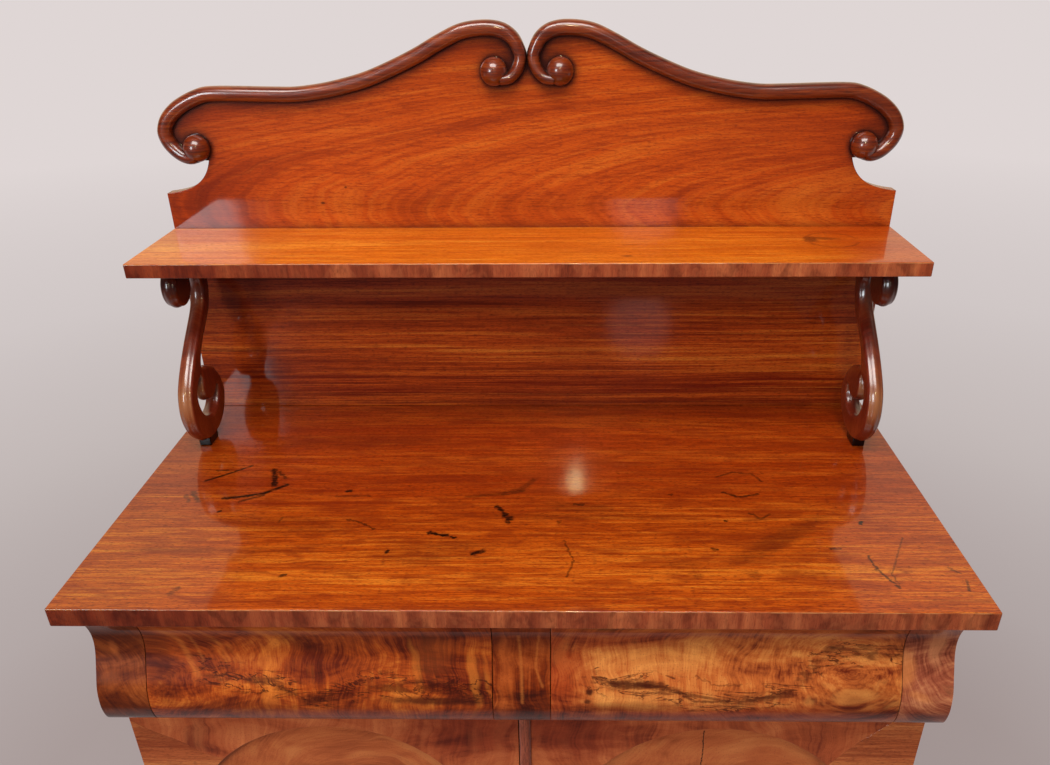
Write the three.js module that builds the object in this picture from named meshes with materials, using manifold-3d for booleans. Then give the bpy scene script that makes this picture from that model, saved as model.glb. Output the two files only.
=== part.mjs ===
// A mahogany chiffonier: a cupboard with two drawers and two arched doors under a worktop,
// and a scrolled gallery with one shelf on two scroll supports.
// Millimetres, +Z up, the front looks along -Y, and the origin is on the floor under the middle.

import * as THREE from 'three';
import { mergeVertices } from 'three/addons/utils/BufferGeometryUtils.js';
import Module from 'manifold-3d';

const wasm = await Module();
wasm.setup();

// Overall sizes
const worktopWidth = 1020;
const worktopDepth = 520;
const worktopThickness = 24;
const worktopHeight = 900;
const jointGap = 0.2;
const runningGap = 1;
const overrun = 5;

// Carcass
const worktopOverhang = 30;
const carcassSetback = 36;
const boardThickness = 18;
const sideThickness = 20;
const backBoardThickness = 8;
const backInset = 8;
const plinthHeight = 88;
const plinthThickness = 20;
const plinthProud = 8;
const plinthFootGap = 3;
const topRailDepth = 48;
const dividerThickness = 25;
const innerShelfHeight = 380;
const innerShelfSetback = 50;
const bearerWidth = 20;
const bearerHeight = 18;

// Frieze with its two drawers
const friezeHeight = 152;
const friezeProud = 5.5;
const ogeeDepth = 24;
const ogeeSetback = 2;
const friezeFrontThickness = 14;
const cornerBlockWidth = 57;
const centreBlockWidth = 65;
const drawerLift = 4;
const drawerTopGap = 2;
const drawerSideThickness = 12;
const drawerSideHeight = 112;
const drawerBottomThickness = 6;
const drawerBottomRise = 8;
const drawerLength = 425;
const runnerLip = 15;
const runnerGuideHeight = 20;
const ogeePoints = 26;

// Doors
const doorThickness = 22;
const doorEndGap = 2;
const meetingOffset = 6.5;
const doorStileWidth = 50;
const archTip = 2.5;
const archCrownRail = 30;
const bottomRailHeight = 80;
const panelSink = 9;
const panelThickness = 9;
const panelLap = 8;
const beadWidth = 14;
const beadProud = 5;
const archSegments = 40;

// Hinges
const hingeLength = 64;
const hingeLeafWidth = 17;
const hingeLeafThickness = 1.4;
const knuckleRadius = 4;
const hingePinRadius = 1.8;
const pinClearance = 0.15;
const hingeEndDistance = 110;
const knuckleSegments = 18;

// Lock and key of the right door
const lockHeight = 470;
const lockCaseWidth = 40;
const lockCaseHeight = 56;
const lockCaseThickness = 9;
const lockWall = 1.5;
const lockBoltThrow = 8;
const lockBoltHeight = 14;
const lockBoltThickness = 4;
const keyShaftRadius = 2.2;
const keyShaftLength = 32;
const keyBowRadius = 11;
const keyBowHole = 6.5;
const keyBowThickness = 3;
const keyBackset = 22;
const keyBitReach = 5;
const keyBitThickness = 2.4;

// Gallery
const galleryBoardThickness = 20;
const galleryEndSetback = 9;
const galleryShelfHeight = 277.5;
const galleryShelfThickness = 18.5;
const galleryShelfDepth = 171;
const shoulderRise = 48;
const pedimentRise = 260.5;
const pedimentEndSetback = 6;
const mouldingWidth = 19;
const mouldingNeckWidth = 15;
const mouldingProud = 12;
const mouldingSteps = 64;
const mouldingSectionPoints = 6;
const mouldingEdgeCover = 2;
const bossRadius = 17.5;
const bossSink = 5;
const bossSegments = 16;
const notchPoints = 10;

// Scroll supports
const supportThickness = 21;
const supportInset = 26;
const supportDepth = 136;
const supportFrontSetback = 2;
const supportRollRadius = 26;
const supportEyeRadius = 24;
const supportFootHeight = 9.5;
const supportFootWidth = 17;
const supportFootLength = 30;
const supportFootSink = 4;
const supportArcPoints = 18;
const supportSplineStep = 2;

// Levels and planes that follow from the sizes above
const frontY = -worktopDepth / 2;
const backY = worktopDepth / 2;
const worktopUnderside = worktopHeight - worktopThickness;
const friezeBottom = worktopUnderside - friezeHeight;
const carcassHalf = worktopWidth / 2 - worktopOverhang;
const archRadius = (carcassHalf - meetingOffset - runningGap / 2) / 2 - doorStileWidth - archTip;
const innerHalf = carcassHalf - sideThickness;
const doorFrontY = frontY + carcassSetback;
const doorBackY = doorFrontY + doorThickness;
const doorCarcassGap = 2 * hingeLeafThickness + 3 * jointGap;
const carcassFrontY = doorBackY + doorCarcassGap;
const carcassBackY = backY - backInset;
const backBoardFrontY = carcassBackY - backBoardThickness;
const topRailBottom = worktopUnderside - boardThickness;
const doorTop = friezeBottom - doorEndGap;
const doorBottom = plinthHeight + plinthFootGap;
const friezeHalf = carcassHalf + friezeProud;
const cornerInner = friezeHalf - cornerBlockWidth;
const centreHalf = centreBlockWidth / 2;
const galleryHalf = worktopWidth / 2 - galleryEndSetback;
const pedimentReach = galleryHalf - pedimentEndSetback;
const galleryFrontY = backY - galleryBoardThickness;
const galleryShelfTop = worktopHeight + galleryShelfHeight;
const galleryShelfUnderside = galleryShelfTop - galleryShelfThickness;
const galleryJointZ = galleryShelfTop - galleryShelfThickness / 2;

// Outlines, as shares of the sizes that they follow
// Ogee: share of the depth behind the belly, share of the height down from the worktop
const ogeeShares = [
  [0.42, 0], [0.60, 0.05], [0.92, 0.17], [1, 0.27], [0.875, 0.37], [0.5, 0.5],
  [0.125, 0.63], [0, 0.75], [0.04, 0.84], [0.25, 0.935], [0.67, 1],
];
// Pediment moulding, middle line from the inner boss to the outer boss:
// share of the reach from the middle, share of the rise above the shelf
const mouldingShares = [
  [0.070, 0.738], [0.046, 0.744], [0.028, 0.776], [0.018, 0.815], [0.0165, 0.842], [0.0195, 0.866],
  [0.036, 0.922], [0.065, 0.957], [0.109, 0.967], [0.166, 0.953], [0.222, 0.908], [0.283, 0.848],
  [0.348, 0.793], [0.418, 0.742], [0.479, 0.711], [0.543, 0.687], [0.614, 0.672], [0.685, 0.672],
  [0.776, 0.676], [0.844, 0.676], [0.877, 0.662], [0.909, 0.637], [0.937, 0.607], [0.960, 0.570],
  [0.974, 0.533], [0.981, 0.488], [0.974, 0.443], [0.960, 0.409], [0.942, 0.383], [0.922, 0.372],
  [0.906, 0.380],
];
const innerBossShares = [0.086, 0.773];
const outerBossShares = [0.901, 0.416];
// Share of the moulding's length along which its narrow inner end widens
const neckEndShare = 0.16;
// Notch between the outer boss and the shoulder: its top, and the two handles of its curve
const notchTopShares = [0.878, 0.352];
const notchHandleShares = [[0.12, 0.62], [0.38, 0.90]];
// Depth of the board's dip between the two mouldings, as a share of their narrow width
const middleDipShare = 0.18;
// Scroll support: shares of its depth from the belly and of its height from the bottom
const supportFrontShares = [
  [0.39, 0], [0.23, 0.02], [0.10, 0.08], [0.02, 0.16], [0, 0.24], [0.04, 0.33], [0.125, 0.40],
  [0.265, 0.48], [0.43, 0.56], [0.57, 0.62], [0.73, 0.69], [0.80, 0.74], [0.83, 0.80],
  [0.81, 0.85], [0.74, 0.90], [0.65, 0.925], [0.57, 0.91],
];
const supportRearShares = [
  [0.69, 1], [0.84, 0.975], [0.95, 0.92], [1, 0.84], [0.98, 0.76], [0.89, 0.67], [0.73, 0.60],
  [0.545, 0.52], [0.45, 0.46], [0.42, 0.42],
];
const supportVoluteShares = [
  [0.42, 0.42], [0.49, 0.402], [0.58, 0.392], [0.70, 0.36], [0.80, 0.30], [0.86, 0.235],
  [0.875, 0.17], [0.82, 0.105], [0.73, 0.05], [0.57, 0.01], [0.39, 0],
];
const supportHoleShares = [
  [0.37, 0.385], [0.29, 0.36], [0.21, 0.32], [0.19, 0.274], [0.205, 0.226], [0.26, 0.174],
  [0.36, 0.134], [0.49, 0.118], [0.62, 0.138], [0.70, 0.186], [0.725, 0.238],
];
const supportRollShares = [0.385, 0.89];
const supportEyeShares = [0.54, 0.30];
const eyeSlitEndDegrees = 140;
// Butt hinge: where its knuckles start and end, as shares of its length
const fixedKnuckleShares = [[0, 1 / 3], [2 / 3, 1]];
const doorKnuckleShares = [[1 / 3, 2 / 3]];

const finishes = {
  topWood: new THREE.MeshStandardMaterial({ color: 0xa8481c, roughness: 0.28, metalness: 0 }),
  panelWood: new THREE.MeshStandardMaterial({ color: 0xa03c18, roughness: 0.32, metalness: 0 }),
  flameWood: new THREE.MeshStandardMaterial({ color: 0x7c3314, roughness: 0.3, metalness: 0 }),
  carvedWood: new THREE.MeshStandardMaterial({ color: 0x5e1d10, roughness: 0.25, metalness: 0 }),
  insideWood: new THREE.MeshStandardMaterial({ color: 0xb98a55, roughness: 0.75, metalness: 0 }),
  brass: new THREE.MeshStandardMaterial({ color: 0xb08a3c, roughness: 0.35, metalness: 1 }),
  steel: new THREE.MeshStandardMaterial({ color: 0x6c6a66, roughness: 0.4, metalness: 1 }),
};

const chiffonier = new THREE.Group();

function addPart(name, geometry, finish) {
  const mesh = new THREE.Mesh(geometry, finish);
  mesh.name = name;
  chiffonier.add(mesh);
  return mesh;
}

// A box given by its low and high limits on each axis
function boxGeometry([x0, x1], [y0, y1], [z0, z1]) {
  const geometry = new THREE.BoxGeometry(x1 - x0, y1 - y0, z1 - z0);
  geometry.translate((x0 + x1) / 2, (y0 + y1) / 2, (z0 + z1) / 2);
  return geometry;
}

function addBoard(name, xs, ys, zs, finish) {
  return addPart(name, boxGeometry(xs, ys, zs), finish);
}

// Limits on X for one side of the piece: side is -1 on the left and 1 on the right
function sideSpan(side, inner, outer) {
  return side < 0 ? [-outer, -inner] : [inner, outer];
}

function sideName(side) {
  return side < 0 ? 'left' : 'right';
}

function toSolid(geometry) {
  const bare = geometry.clone();
  bare.deleteAttribute('normal');
  bare.deleteAttribute('uv');
  const merged = mergeVertices(bare);
  return new wasm.Manifold(new wasm.Mesh({
    numProp: 3,
    vertProperties: new Float32Array(merged.attributes.position.array),
    triVerts: new Uint32Array(merged.index.array),
  }));
}

function toGeometry(solid) {
  const mesh = solid.getMesh();
  const geometry = new THREE.BufferGeometry();
  geometry.setAttribute('position', new THREE.BufferAttribute(mesh.vertProperties, 3));
  geometry.setIndex(new THREE.BufferAttribute(mesh.triVerts, 1));
  geometry.computeVertexNormals();
  return geometry;
}

function cutFrom(geometry, ...cutters) {
  return toGeometry(cutters.reduce((solid, cutter) => solid.subtract(toSolid(cutter)), toSolid(geometry)));
}

function joinAll(first, ...others) {
  return toGeometry(others.reduce((solid, other) => solid.add(toSolid(other)), toSolid(first)));
}

// An outline drawn in Y and Z, carried along X from x0 to x1
function extrudeAlongX(shape, x0, x1, curveSegments = 12) {
  const geometry = new THREE.ExtrudeGeometry(shape, { depth: x1 - x0, bevelEnabled: false, curveSegments });
  geometry.applyMatrix4(new THREE.Matrix4().set(
    0, 0, 1, x0,
    1, 0, 0, 0,
    0, 1, 0, 0,
    0, 0, 0, 1,
  ));
  return geometry;
}

// An outline drawn in X and Z, carried along Y from y0 back to y1
function extrudeAlongY(shape, y0, y1, curveSegments = 12) {
  const geometry = new THREE.ExtrudeGeometry(shape, { depth: y1 - y0, bevelEnabled: false, curveSegments });
  geometry.rotateX(Math.PI / 2);
  geometry.translate(0, y1, 0);
  return geometry;
}

function cylinderAlong(axis, radius, length, centre, segments = knuckleSegments) {
  const geometry = new THREE.CylinderGeometry(radius, radius, length, segments);
  if (axis === 'z') {
    geometry.rotateX(Math.PI / 2);
  }
  if (axis === 'x') {
    geometry.rotateZ(Math.PI / 2);
  }
  geometry.translate(...centre);
  return geometry;
}

// Base frame: plinth, sides, bottom, dust board, backs, rails and the inner shelf
function addCarcass() {
  const plinthHalf = carcassHalf + plinthProud;
  const plinthFrontY = doorFrontY - plinthProud;
  const plinthInnerY = plinthFrontY + plinthThickness;
  addBoard('plinth_front', [-plinthHalf, plinthHalf], [plinthFrontY, plinthInnerY],
    [0, plinthHeight], finishes.panelWood);
  for (const side of [-1, 1]) {
    const name = sideName(side);
    addBoard(`plinth_${name}`, sideSpan(side, plinthHalf - plinthThickness, plinthHalf),
      [plinthInnerY + jointGap, carcassBackY], [0, plinthHeight], finishes.panelWood);
    addBoard(`carcass_side_${name}`, sideSpan(side, innerHalf, carcassHalf),
      [carcassFrontY, carcassBackY], [plinthHeight + jointGap, worktopUnderside - jointGap],
      finishes.panelWood);
    addBoard(`frieze_side_${name}`, sideSpan(side, carcassHalf + jointGap, friezeHalf),
      [carcassFrontY, carcassBackY], [friezeBottom, worktopUnderside - jointGap],
      finishes.flameWood);
  }

  const between = innerHalf - jointGap;
  const bottomTop = plinthHeight + jointGap + boardThickness;
  addBoard('carcass_bottom', [-between, between], [carcassFrontY, backBoardFrontY - jointGap],
    [plinthHeight + jointGap, bottomTop], finishes.insideWood);
  addBoard('dust_board', [-between, between], [carcassFrontY, backBoardFrontY - jointGap],
    [friezeBottom - boardThickness, friezeBottom], finishes.insideWood);
  addBoard('back_board', [-between, between], [backBoardFrontY, carcassBackY],
    [plinthHeight + jointGap, worktopUnderside - jointGap], finishes.insideWood);

  addBoard('top_rail', [-between, between], [carcassFrontY + jointGap, carcassFrontY + topRailDepth],
    [topRailBottom, worktopUnderside - jointGap], finishes.insideWood);

  const shelfFrontY = carcassFrontY + innerShelfSetback;
  addBoard('cupboard_shelf', [-between, between], [shelfFrontY, backBoardFrontY - jointGap],
    [innerShelfHeight, innerShelfHeight + boardThickness], finishes.insideWood);
  const bearerTop = innerShelfHeight - jointGap;
  for (const side of [-1, 1]) {
    addBoard(`shelf_bearer_${sideName(side)}`, sideSpan(side, between - bearerWidth, between),
      [shelfFrontY, backBoardFrontY - jointGap], [bearerTop - bearerHeight, bearerTop],
      finishes.insideWood);
  }
}

// Points of the ogee face between two levels, from the top down, in Y and Z
function ogeeCurve(zLow, zHigh) {
  const curve = new THREE.SplineCurve(ogeeShares.map(([back, down]) => new THREE.Vector2(
    frontY + ogeeSetback + back * ogeeDepth,
    worktopUnderside - down * friezeHeight,
  )));
  const points = curve.getPoints(ogeePoints);
  const levelPoint = (z) => {
    const found = points.findIndex((point) => point.y <= z);
    const next = found < 0 ? points.length - 1 : Math.max(1, found);
    const [above, below] = [points[next - 1], points[next]];
    return new THREE.Vector2(above.x + (below.x - above.x) * (above.y - z) / (above.y - below.y), z);
  };
  const inside = points.filter((point) => point.y < zHigh - jointGap && point.y > zLow + jointGap);
  return [levelPoint(zHigh), ...inside, levelPoint(zLow)];
}

function ogeeBlock(x0, x1, zLow, zHigh, blockBackY) {
  const face = ogeeCurve(zLow, zHigh);
  const shape = new THREE.Shape([
    ...face,
    new THREE.Vector2(blockBackY, zLow),
    new THREE.Vector2(blockBackY, zHigh),
  ]);
  return extrudeAlongX(shape, x0, x1);
}

// Fixed blocks of the frieze, between and beside the drawers
function addFrieze() {
  const blockTop = worktopUnderside - jointGap;
  const blockBackY = carcassFrontY - jointGap;
  for (const side of [-1, 1]) {
    const [x0, x1] = sideSpan(side, cornerInner, friezeHalf);
    addPart(`corner_block_${sideName(side)}`, ogeeBlock(x0, x1, friezeBottom, blockTop, blockBackY),
      finishes.flameWood);
  }
  addPart('centre_block', ogeeBlock(-centreHalf, centreHalf, friezeBottom, blockTop, blockBackY),
    finishes.flameWood);
}

// Each drawer: ogee front, two sides, back and bottom
function addDrawers() {
  const inner = centreHalf + runningGap;
  const outer = cornerInner - runningGap;
  const low = friezeBottom + drawerLift;
  const high = worktopUnderside - drawerTopGap;
  const frontBackY = frontY + ogeeSetback + ogeeDepth + friezeFrontThickness;
  const boxFrontY = frontBackY + jointGap;
  const boxBackY = boxFrontY + drawerLength;
  const sideTop = low + drawerSideHeight;
  const boxInner = inner + drawerSideThickness;
  const boxOuter = outer - drawerSideThickness;
  const bottomZ = low + drawerBottomRise;
  for (const side of [-1, 1]) {
    const drawer = `${sideName(side)}_drawer`;
    const [x0, x1] = sideSpan(side, inner, outer);
    addPart(`${drawer}_front`, ogeeBlock(x0, x1, low, high, frontBackY), finishes.flameWood);
    addBoard(`${drawer}_inner_side`, sideSpan(side, inner + jointGap, boxInner),
      [boxFrontY, boxBackY], [low, sideTop], finishes.insideWood);
    addBoard(`${drawer}_outer_side`, sideSpan(side, boxOuter, outer - jointGap),
      [boxFrontY, boxBackY], [low, sideTop], finishes.insideWood);
    const [fit0, fit1] = sideSpan(side, boxInner + jointGap, boxOuter - jointGap);
    addBoard(`${drawer}_bottom`, [fit0, fit1], [boxFrontY, boxBackY],
      [bottomZ, bottomZ + drawerBottomThickness], finishes.insideWood);
    addBoard(`${drawer}_back`, [fit0, fit1], [boxBackY - drawerSideThickness, boxBackY],
      [bottomZ + drawerBottomThickness + jointGap, sideTop], finishes.insideWood);
  }
}

// Runners under the drawers with upright guides beside them, and the divider on the middle one
function addRunners() {
  const base = friezeBottom + jointGap;
  const lipTop = friezeBottom + drawerLift - jointGap;
  const guideTop = lipTop + runnerGuideHeight;
  const runnerY = [carcassFrontY + runningGap, backBoardFrontY - runningGap];
  for (const side of [-1, 1]) {
    const wallX = innerHalf - jointGap;
    const shape = new THREE.Shape([
      new THREE.Vector2(side * wallX, base),
      new THREE.Vector2(side * (cornerInner - runnerLip), base),
      new THREE.Vector2(side * (cornerInner - runnerLip), lipTop),
      new THREE.Vector2(side * cornerInner, lipTop),
      new THREE.Vector2(side * cornerInner, guideTop),
      new THREE.Vector2(side * wallX, guideTop),
    ]);
    addPart(`${sideName(side)}_runner`, extrudeAlongY(shape, ...runnerY), finishes.insideWood);
  }
  const lip = boxGeometry([-centreHalf - runnerLip, centreHalf + runnerLip], runnerY, [base, lipTop]);
  const guide = boxGeometry([-centreHalf, centreHalf], runnerY, [base, guideTop]);
  const wall = boxGeometry([-dividerThickness / 2, dividerThickness / 2], runnerY,
    [base, worktopUnderside - jointGap]);
  const railNotch = boxGeometry([-dividerThickness, dividerThickness],
    [carcassFrontY - overrun, carcassFrontY + topRailDepth + jointGap],
    [topRailBottom - jointGap, worktopUnderside + overrun]);
  addPart('drawer_divider', cutFrom(joinAll(lip, guide, wall), railNotch), finishes.insideWood);
}

// Sizes of one door, worked out from the meeting line
function doorPlan(side) {
  const hingeX = side * carcassHalf;
  const meetingX = -meetingOffset + side * runningGap / 2;
  const width = Math.abs(hingeX - meetingX);
  const middleX = (hingeX + meetingX) / 2;
  const openHalf = archRadius + archTip;
  return { side, hingeX, meetingX, width, middleX, openHalf, name: `${sideName(side)}_door` };
}

// Upright of the frame, with a rebate at the back that takes the sunk panel
function doorStile(plan, edgeX) {
  const inward = Math.sign(plan.middleX - edgeX);
  const innerX = plan.middleX - inward * plan.openHalf;
  const rebateX = innerX - inward * panelLap;
  const block = boxGeometry([Math.min(edgeX, innerX), Math.max(edgeX, innerX)],
    [doorFrontY, doorBackY], [doorBottom, doorTop]);
  const rebate = boxGeometry(
    [Math.min(rebateX, innerX + inward * overrun), Math.max(rebateX, innerX + inward * overrun)],
    [doorFrontY + panelSink, doorBackY + overrun],
    [doorBottom + bottomRailHeight - panelLap, doorTop - archCrownRail + panelLap]);
  return cutFrom(block, rebate);
}

// Top rail with its two spandrels: a thin front with the round arch, and a thick bar above
function doorTopRail(plan) {
  const half = plan.openHalf - jointGap;
  const crownZ = doorTop - archCrownRail;
  const springZ = crownZ - archRadius;
  const front = new THREE.Shape();
  front.moveTo(plan.middleX - half, springZ);
  front.lineTo(plan.middleX - archRadius, springZ);
  front.absarc(plan.middleX, springZ, archRadius, Math.PI, 0, true);
  front.lineTo(plan.middleX + half, springZ);
  front.lineTo(plan.middleX + half, doorTop);
  front.lineTo(plan.middleX - half, doorTop);
  front.closePath();
  const face = extrudeAlongY(front, doorFrontY, doorFrontY + panelSink - jointGap, archSegments);
  const bar = boxGeometry([plan.middleX - half, plan.middleX + half], [doorFrontY, doorBackY],
    [crownZ + panelLap, doorTop]);
  return joinAll(face, bar);
}

function doorBottomRail(plan) {
  const half = plan.openHalf - jointGap;
  const railTop = doorBottom + bottomRailHeight;
  const block = boxGeometry([plan.middleX - half, plan.middleX + half], [doorFrontY, doorBackY],
    [doorBottom, railTop]);
  const rebate = boxGeometry([plan.middleX - half - overrun, plan.middleX + half + overrun],
    [doorFrontY + panelSink, doorBackY + overrun], [railTop - panelLap, railTop + overrun]);
  return cutFrom(block, rebate);
}

function doorPanel(plan) {
  const half = plan.openHalf + panelLap - jointGap;
  const panelFrontY = doorFrontY + panelSink + jointGap;
  return boxGeometry([plan.middleX - half, plan.middleX + half],
    [panelFrontY, panelFrontY + panelThickness],
    [doorBottom + bottomRailHeight - panelLap + jointGap,
      doorTop - archCrownRail + panelLap - jointGap]);
}

// Half-round bead on the right door, over the line where the doors meet
function meetingBead() {
  const edge = -meetingOffset + runningGap / 2;
  const section = new THREE.Shape();
  section.moveTo(edge, doorFrontY - jointGap);
  section.absellipse(edge + beadWidth / 2, doorFrontY - jointGap, beadWidth / 2, beadProud,
    Math.PI, 2 * Math.PI, false);
  section.closePath();
  const geometry = new THREE.ExtrudeGeometry(section, {
    depth: doorTop - doorBottom, bevelEnabled: false, curveSegments: knuckleSegments / 2,
  });
  geometry.translate(0, 0, doorBottom);
  return geometry;
}

// Keyhole through the door and the front of the lock: a bore for the shaft, a slot below for the bit
function keyhole(endY) {
  const startY = doorFrontY - overrun;
  const x = lockEdgeX() + keyBackset;
  const bore = cylinderAlong('y', keyShaftRadius + runningGap, endY - startY,
    [x, (startY + endY) / 2, lockHeight]);
  const slotHalf = keyBitThickness / 2 + runningGap / 2;
  const slot = boxGeometry([x - slotHalf, x + slotHalf], [startY, endY],
    [lockHeight - keyBitReach - runningGap, lockHeight]);
  return joinAll(bore, slot);
}

function lockPocket() {
  return boxGeometry([lockEdgeX() - overrun, lockEdgeX() + lockCaseWidth + jointGap],
    [doorBackY - lockCaseThickness - jointGap, doorBackY + overrun],
    [lockHeight - lockCaseHeight / 2 - jointGap, lockHeight + lockCaseHeight / 2 + jointGap]);
}

function lockEdgeX() {
  return -meetingOffset + runningGap / 2;
}

function lockBoltY() {
  return doorBackY - lockCaseThickness / 2;
}

function addDoors() {
  for (const side of [-1, 1]) {
    const plan = doorPlan(side);
    addPart(`${plan.name}_hinge_stile`, doorStile(plan, plan.hingeX), finishes.flameWood);
    let meetingStile = doorStile(plan, plan.meetingX);
    if (side < 0) {
      meetingStile = cutFrom(meetingStile, strikeMortise());
    } else {
      meetingStile = cutFrom(meetingStile, lockPocket(), keyhole(doorBackY));
    }
    addPart(`${plan.name}_meeting_stile`, meetingStile, finishes.flameWood);
    addPart(`${plan.name}_top_rail`, doorTopRail(plan), finishes.flameWood);
    addPart(`${plan.name}_bottom_rail`, doorBottomRail(plan), finishes.flameWood);
    addPart(`${plan.name}_panel`, doorPanel(plan), finishes.flameWood);
  }
  addPart('right_door_bead', meetingBead(), finishes.carvedWood);
}

// Butt hinges, two to a door: leaves between the door and the carcass, knuckles outside
function hingeMiddles() {
  return [doorBottom + hingeEndDistance, doorTop - hingeEndDistance];
}

function hingeAxisX(side) {
  return side * (carcassHalf + knuckleRadius + jointGap);
}

function hingeAxisY() {
  return doorBackY + doorCarcassGap / 2;
}

// One leaf with its knuckles, each of which fills the given shares of the length
function hingeLeaf(side, middleZ, leafY, knuckleShares) {
  const axisX = hingeAxisX(side);
  const axisY = hingeAxisY();
  const low = middleZ - hingeLength / 2;
  const leaf = boxGeometry(sideSpan(side, carcassHalf - hingeLeafWidth, carcassHalf - jointGap),
    leafY, [low, low + hingeLength]);
  const knuckles = knuckleShares.flatMap(([from, to]) => {
    const z0 = low + from * hingeLength + (from > 0 ? jointGap : 0);
    const z1 = low + to * hingeLength - (to < 1 ? jointGap : 0);
    return [
      cylinderAlong('z', knuckleRadius, z1 - z0, [axisX, axisY, (z0 + z1) / 2]),
      boxGeometry(sideSpan(side, carcassHalf - hingeLeafWidth / 2, Math.abs(axisX)), leafY, [z0, z1]),
    ];
  });
  return joinAll(leaf, ...knuckles);
}

// The pin is one piece with the carcass leaf and turns in the bore of the door leaf
function addHinges() {
  const fixedLeafY = [carcassFrontY - jointGap - hingeLeafThickness, carcassFrontY - jointGap];
  const doorLeafY = [doorBackY + jointGap, doorBackY + jointGap + hingeLeafThickness];
  for (const side of [-1, 1]) {
    hingeMiddles().forEach((middleZ, index) => {
      const name = `${sideName(side)}_${index === 0 ? 'lower' : 'upper'}_hinge`;
      const middle = [hingeAxisX(side), hingeAxisY(), middleZ];
      const pin = cylinderAlong('z', hingePinRadius, hingeLength, middle);
      const bore = cylinderAlong('z', hingePinRadius + pinClearance, hingeLength, middle);
      const fixedLeaf = hingeLeaf(side, middleZ, fixedLeafY, fixedKnuckleShares);
      const doorLeaf = hingeLeaf(side, middleZ, doorLeafY, doorKnuckleShares);
      addPart(`${name}_fixed_leaf`, joinAll(fixedLeaf, pin), finishes.brass);
      addPart(`${name}_door_leaf`, cutFrom(doorLeaf, bore), finishes.brass);
    });
  }
}

// Hole in the left door's edge that takes the lock bolt
function strikeMortise() {
  const edge = -meetingOffset - runningGap / 2;
  return boxGeometry([edge - lockBoltThrow, edge + overrun],
    [lockBoltY() - lockBoltThickness / 2 - runningGap, lockBoltY() + lockBoltThickness / 2 + runningGap],
    [lockHeight - lockBoltHeight / 2 - runningGap, lockHeight + lockBoltHeight / 2 + runningGap]);
}

function addLock() {
  const edge = lockEdgeX();
  const caseY = [doorBackY - lockCaseThickness, doorBackY];
  const caseZ = [lockHeight - lockCaseHeight / 2, lockHeight + lockCaseHeight / 2];
  const shell = boxGeometry([edge + jointGap, edge + lockCaseWidth], caseY, caseZ);
  const hollow = boxGeometry(
    [edge + jointGap + lockWall, edge + lockCaseWidth - lockWall],
    [caseY[0] + lockWall, caseY[1] - lockWall],
    [caseZ[0] + lockWall, caseZ[1] - lockWall]);
  const boltWay = boxGeometry([edge - overrun, edge + lockWall + overrun],
    [lockBoltY() - lockBoltThickness / 2 - jointGap, lockBoltY() + lockBoltThickness / 2 + jointGap],
    [lockHeight - lockBoltHeight / 2 - jointGap, lockHeight + lockBoltHeight / 2 + jointGap]);
  addPart('lock_case', cutFrom(shell, hollow, boltWay, keyhole(caseY[0] + lockWall + overrun)),
    finishes.brass);

  const boltTail = edge + keyBackset - keyBitReach - runningGap;
  addBoard('lock_bolt', [edge + 2 * jointGap, boltTail],
    [lockBoltY() - lockBoltThickness / 2, lockBoltY() + lockBoltThickness / 2],
    [lockHeight - lockBoltHeight / 2, lockHeight + lockBoltHeight / 2], finishes.steel);
}

// Key in the lock of the right door: bow, shaft and bit on one axis along Y, the bit down
function addKey() {
  const x = lockEdgeX() + keyBackset;
  const tipY = doorBackY - lockWall - runningGap;
  const bowMiddleY = tipY - keyShaftLength - keyBowRadius;
  const shaft = cylinderAlong('y', keyShaftRadius, keyShaftLength + keyBowRadius - keyBowHole,
    [x, tipY - (keyShaftLength + keyBowRadius - keyBowHole) / 2, lockHeight], knuckleSegments / 2);
  const bow = cylinderAlong('x', keyBowRadius, keyBowThickness, [x, bowMiddleY, lockHeight]);
  const bowHole = cylinderAlong('x', keyBowHole, keyBowThickness + 2 * overrun,
    [x, bowMiddleY, lockHeight]);
  const bitLength = lockCaseThickness - 2 * lockWall - 2 * runningGap;
  const bit = boxGeometry([x - keyBitThickness / 2, x + keyBitThickness / 2],
    [tipY - bitLength, tipY], [lockHeight - keyBitReach, lockHeight]);
  addPart('key', joinAll(cutFrom(bow, bowHole), shaft, bit), finishes.steel);
}

// Middle line of the pediment moulding on one side, in X and Z
function mouldingCurve(side) {
  return new THREE.CatmullRomCurve3(mouldingShares.map(([across, up]) => new THREE.Vector3(
    side * across * pedimentReach,
    0,
    galleryShelfTop + up * pedimentRise,
  )), false, 'centripetal');
}

function mouldingHalfWidth(share) {
  const grow = THREE.MathUtils.smoothstep(share, 0, neckEndShare);
  return THREE.MathUtils.lerp(mouldingNeckWidth, mouldingWidth, grow) / 2;
}

function mouldingFrames(side) {
  const curve = mouldingCurve(side);
  const frames = [];
  for (let step = 0; step <= mouldingSteps; step += 1) {
    const share = step / mouldingSteps;
    const point = curve.getPointAt(share);
    const tangent = curve.getTangentAt(share);
    const outward = new THREE.Vector3(side * -tangent.z, 0, side * tangent.x);
    frames.push({ point, outward, half: mouldingHalfWidth(share) });
  }
  return frames;
}

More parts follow.
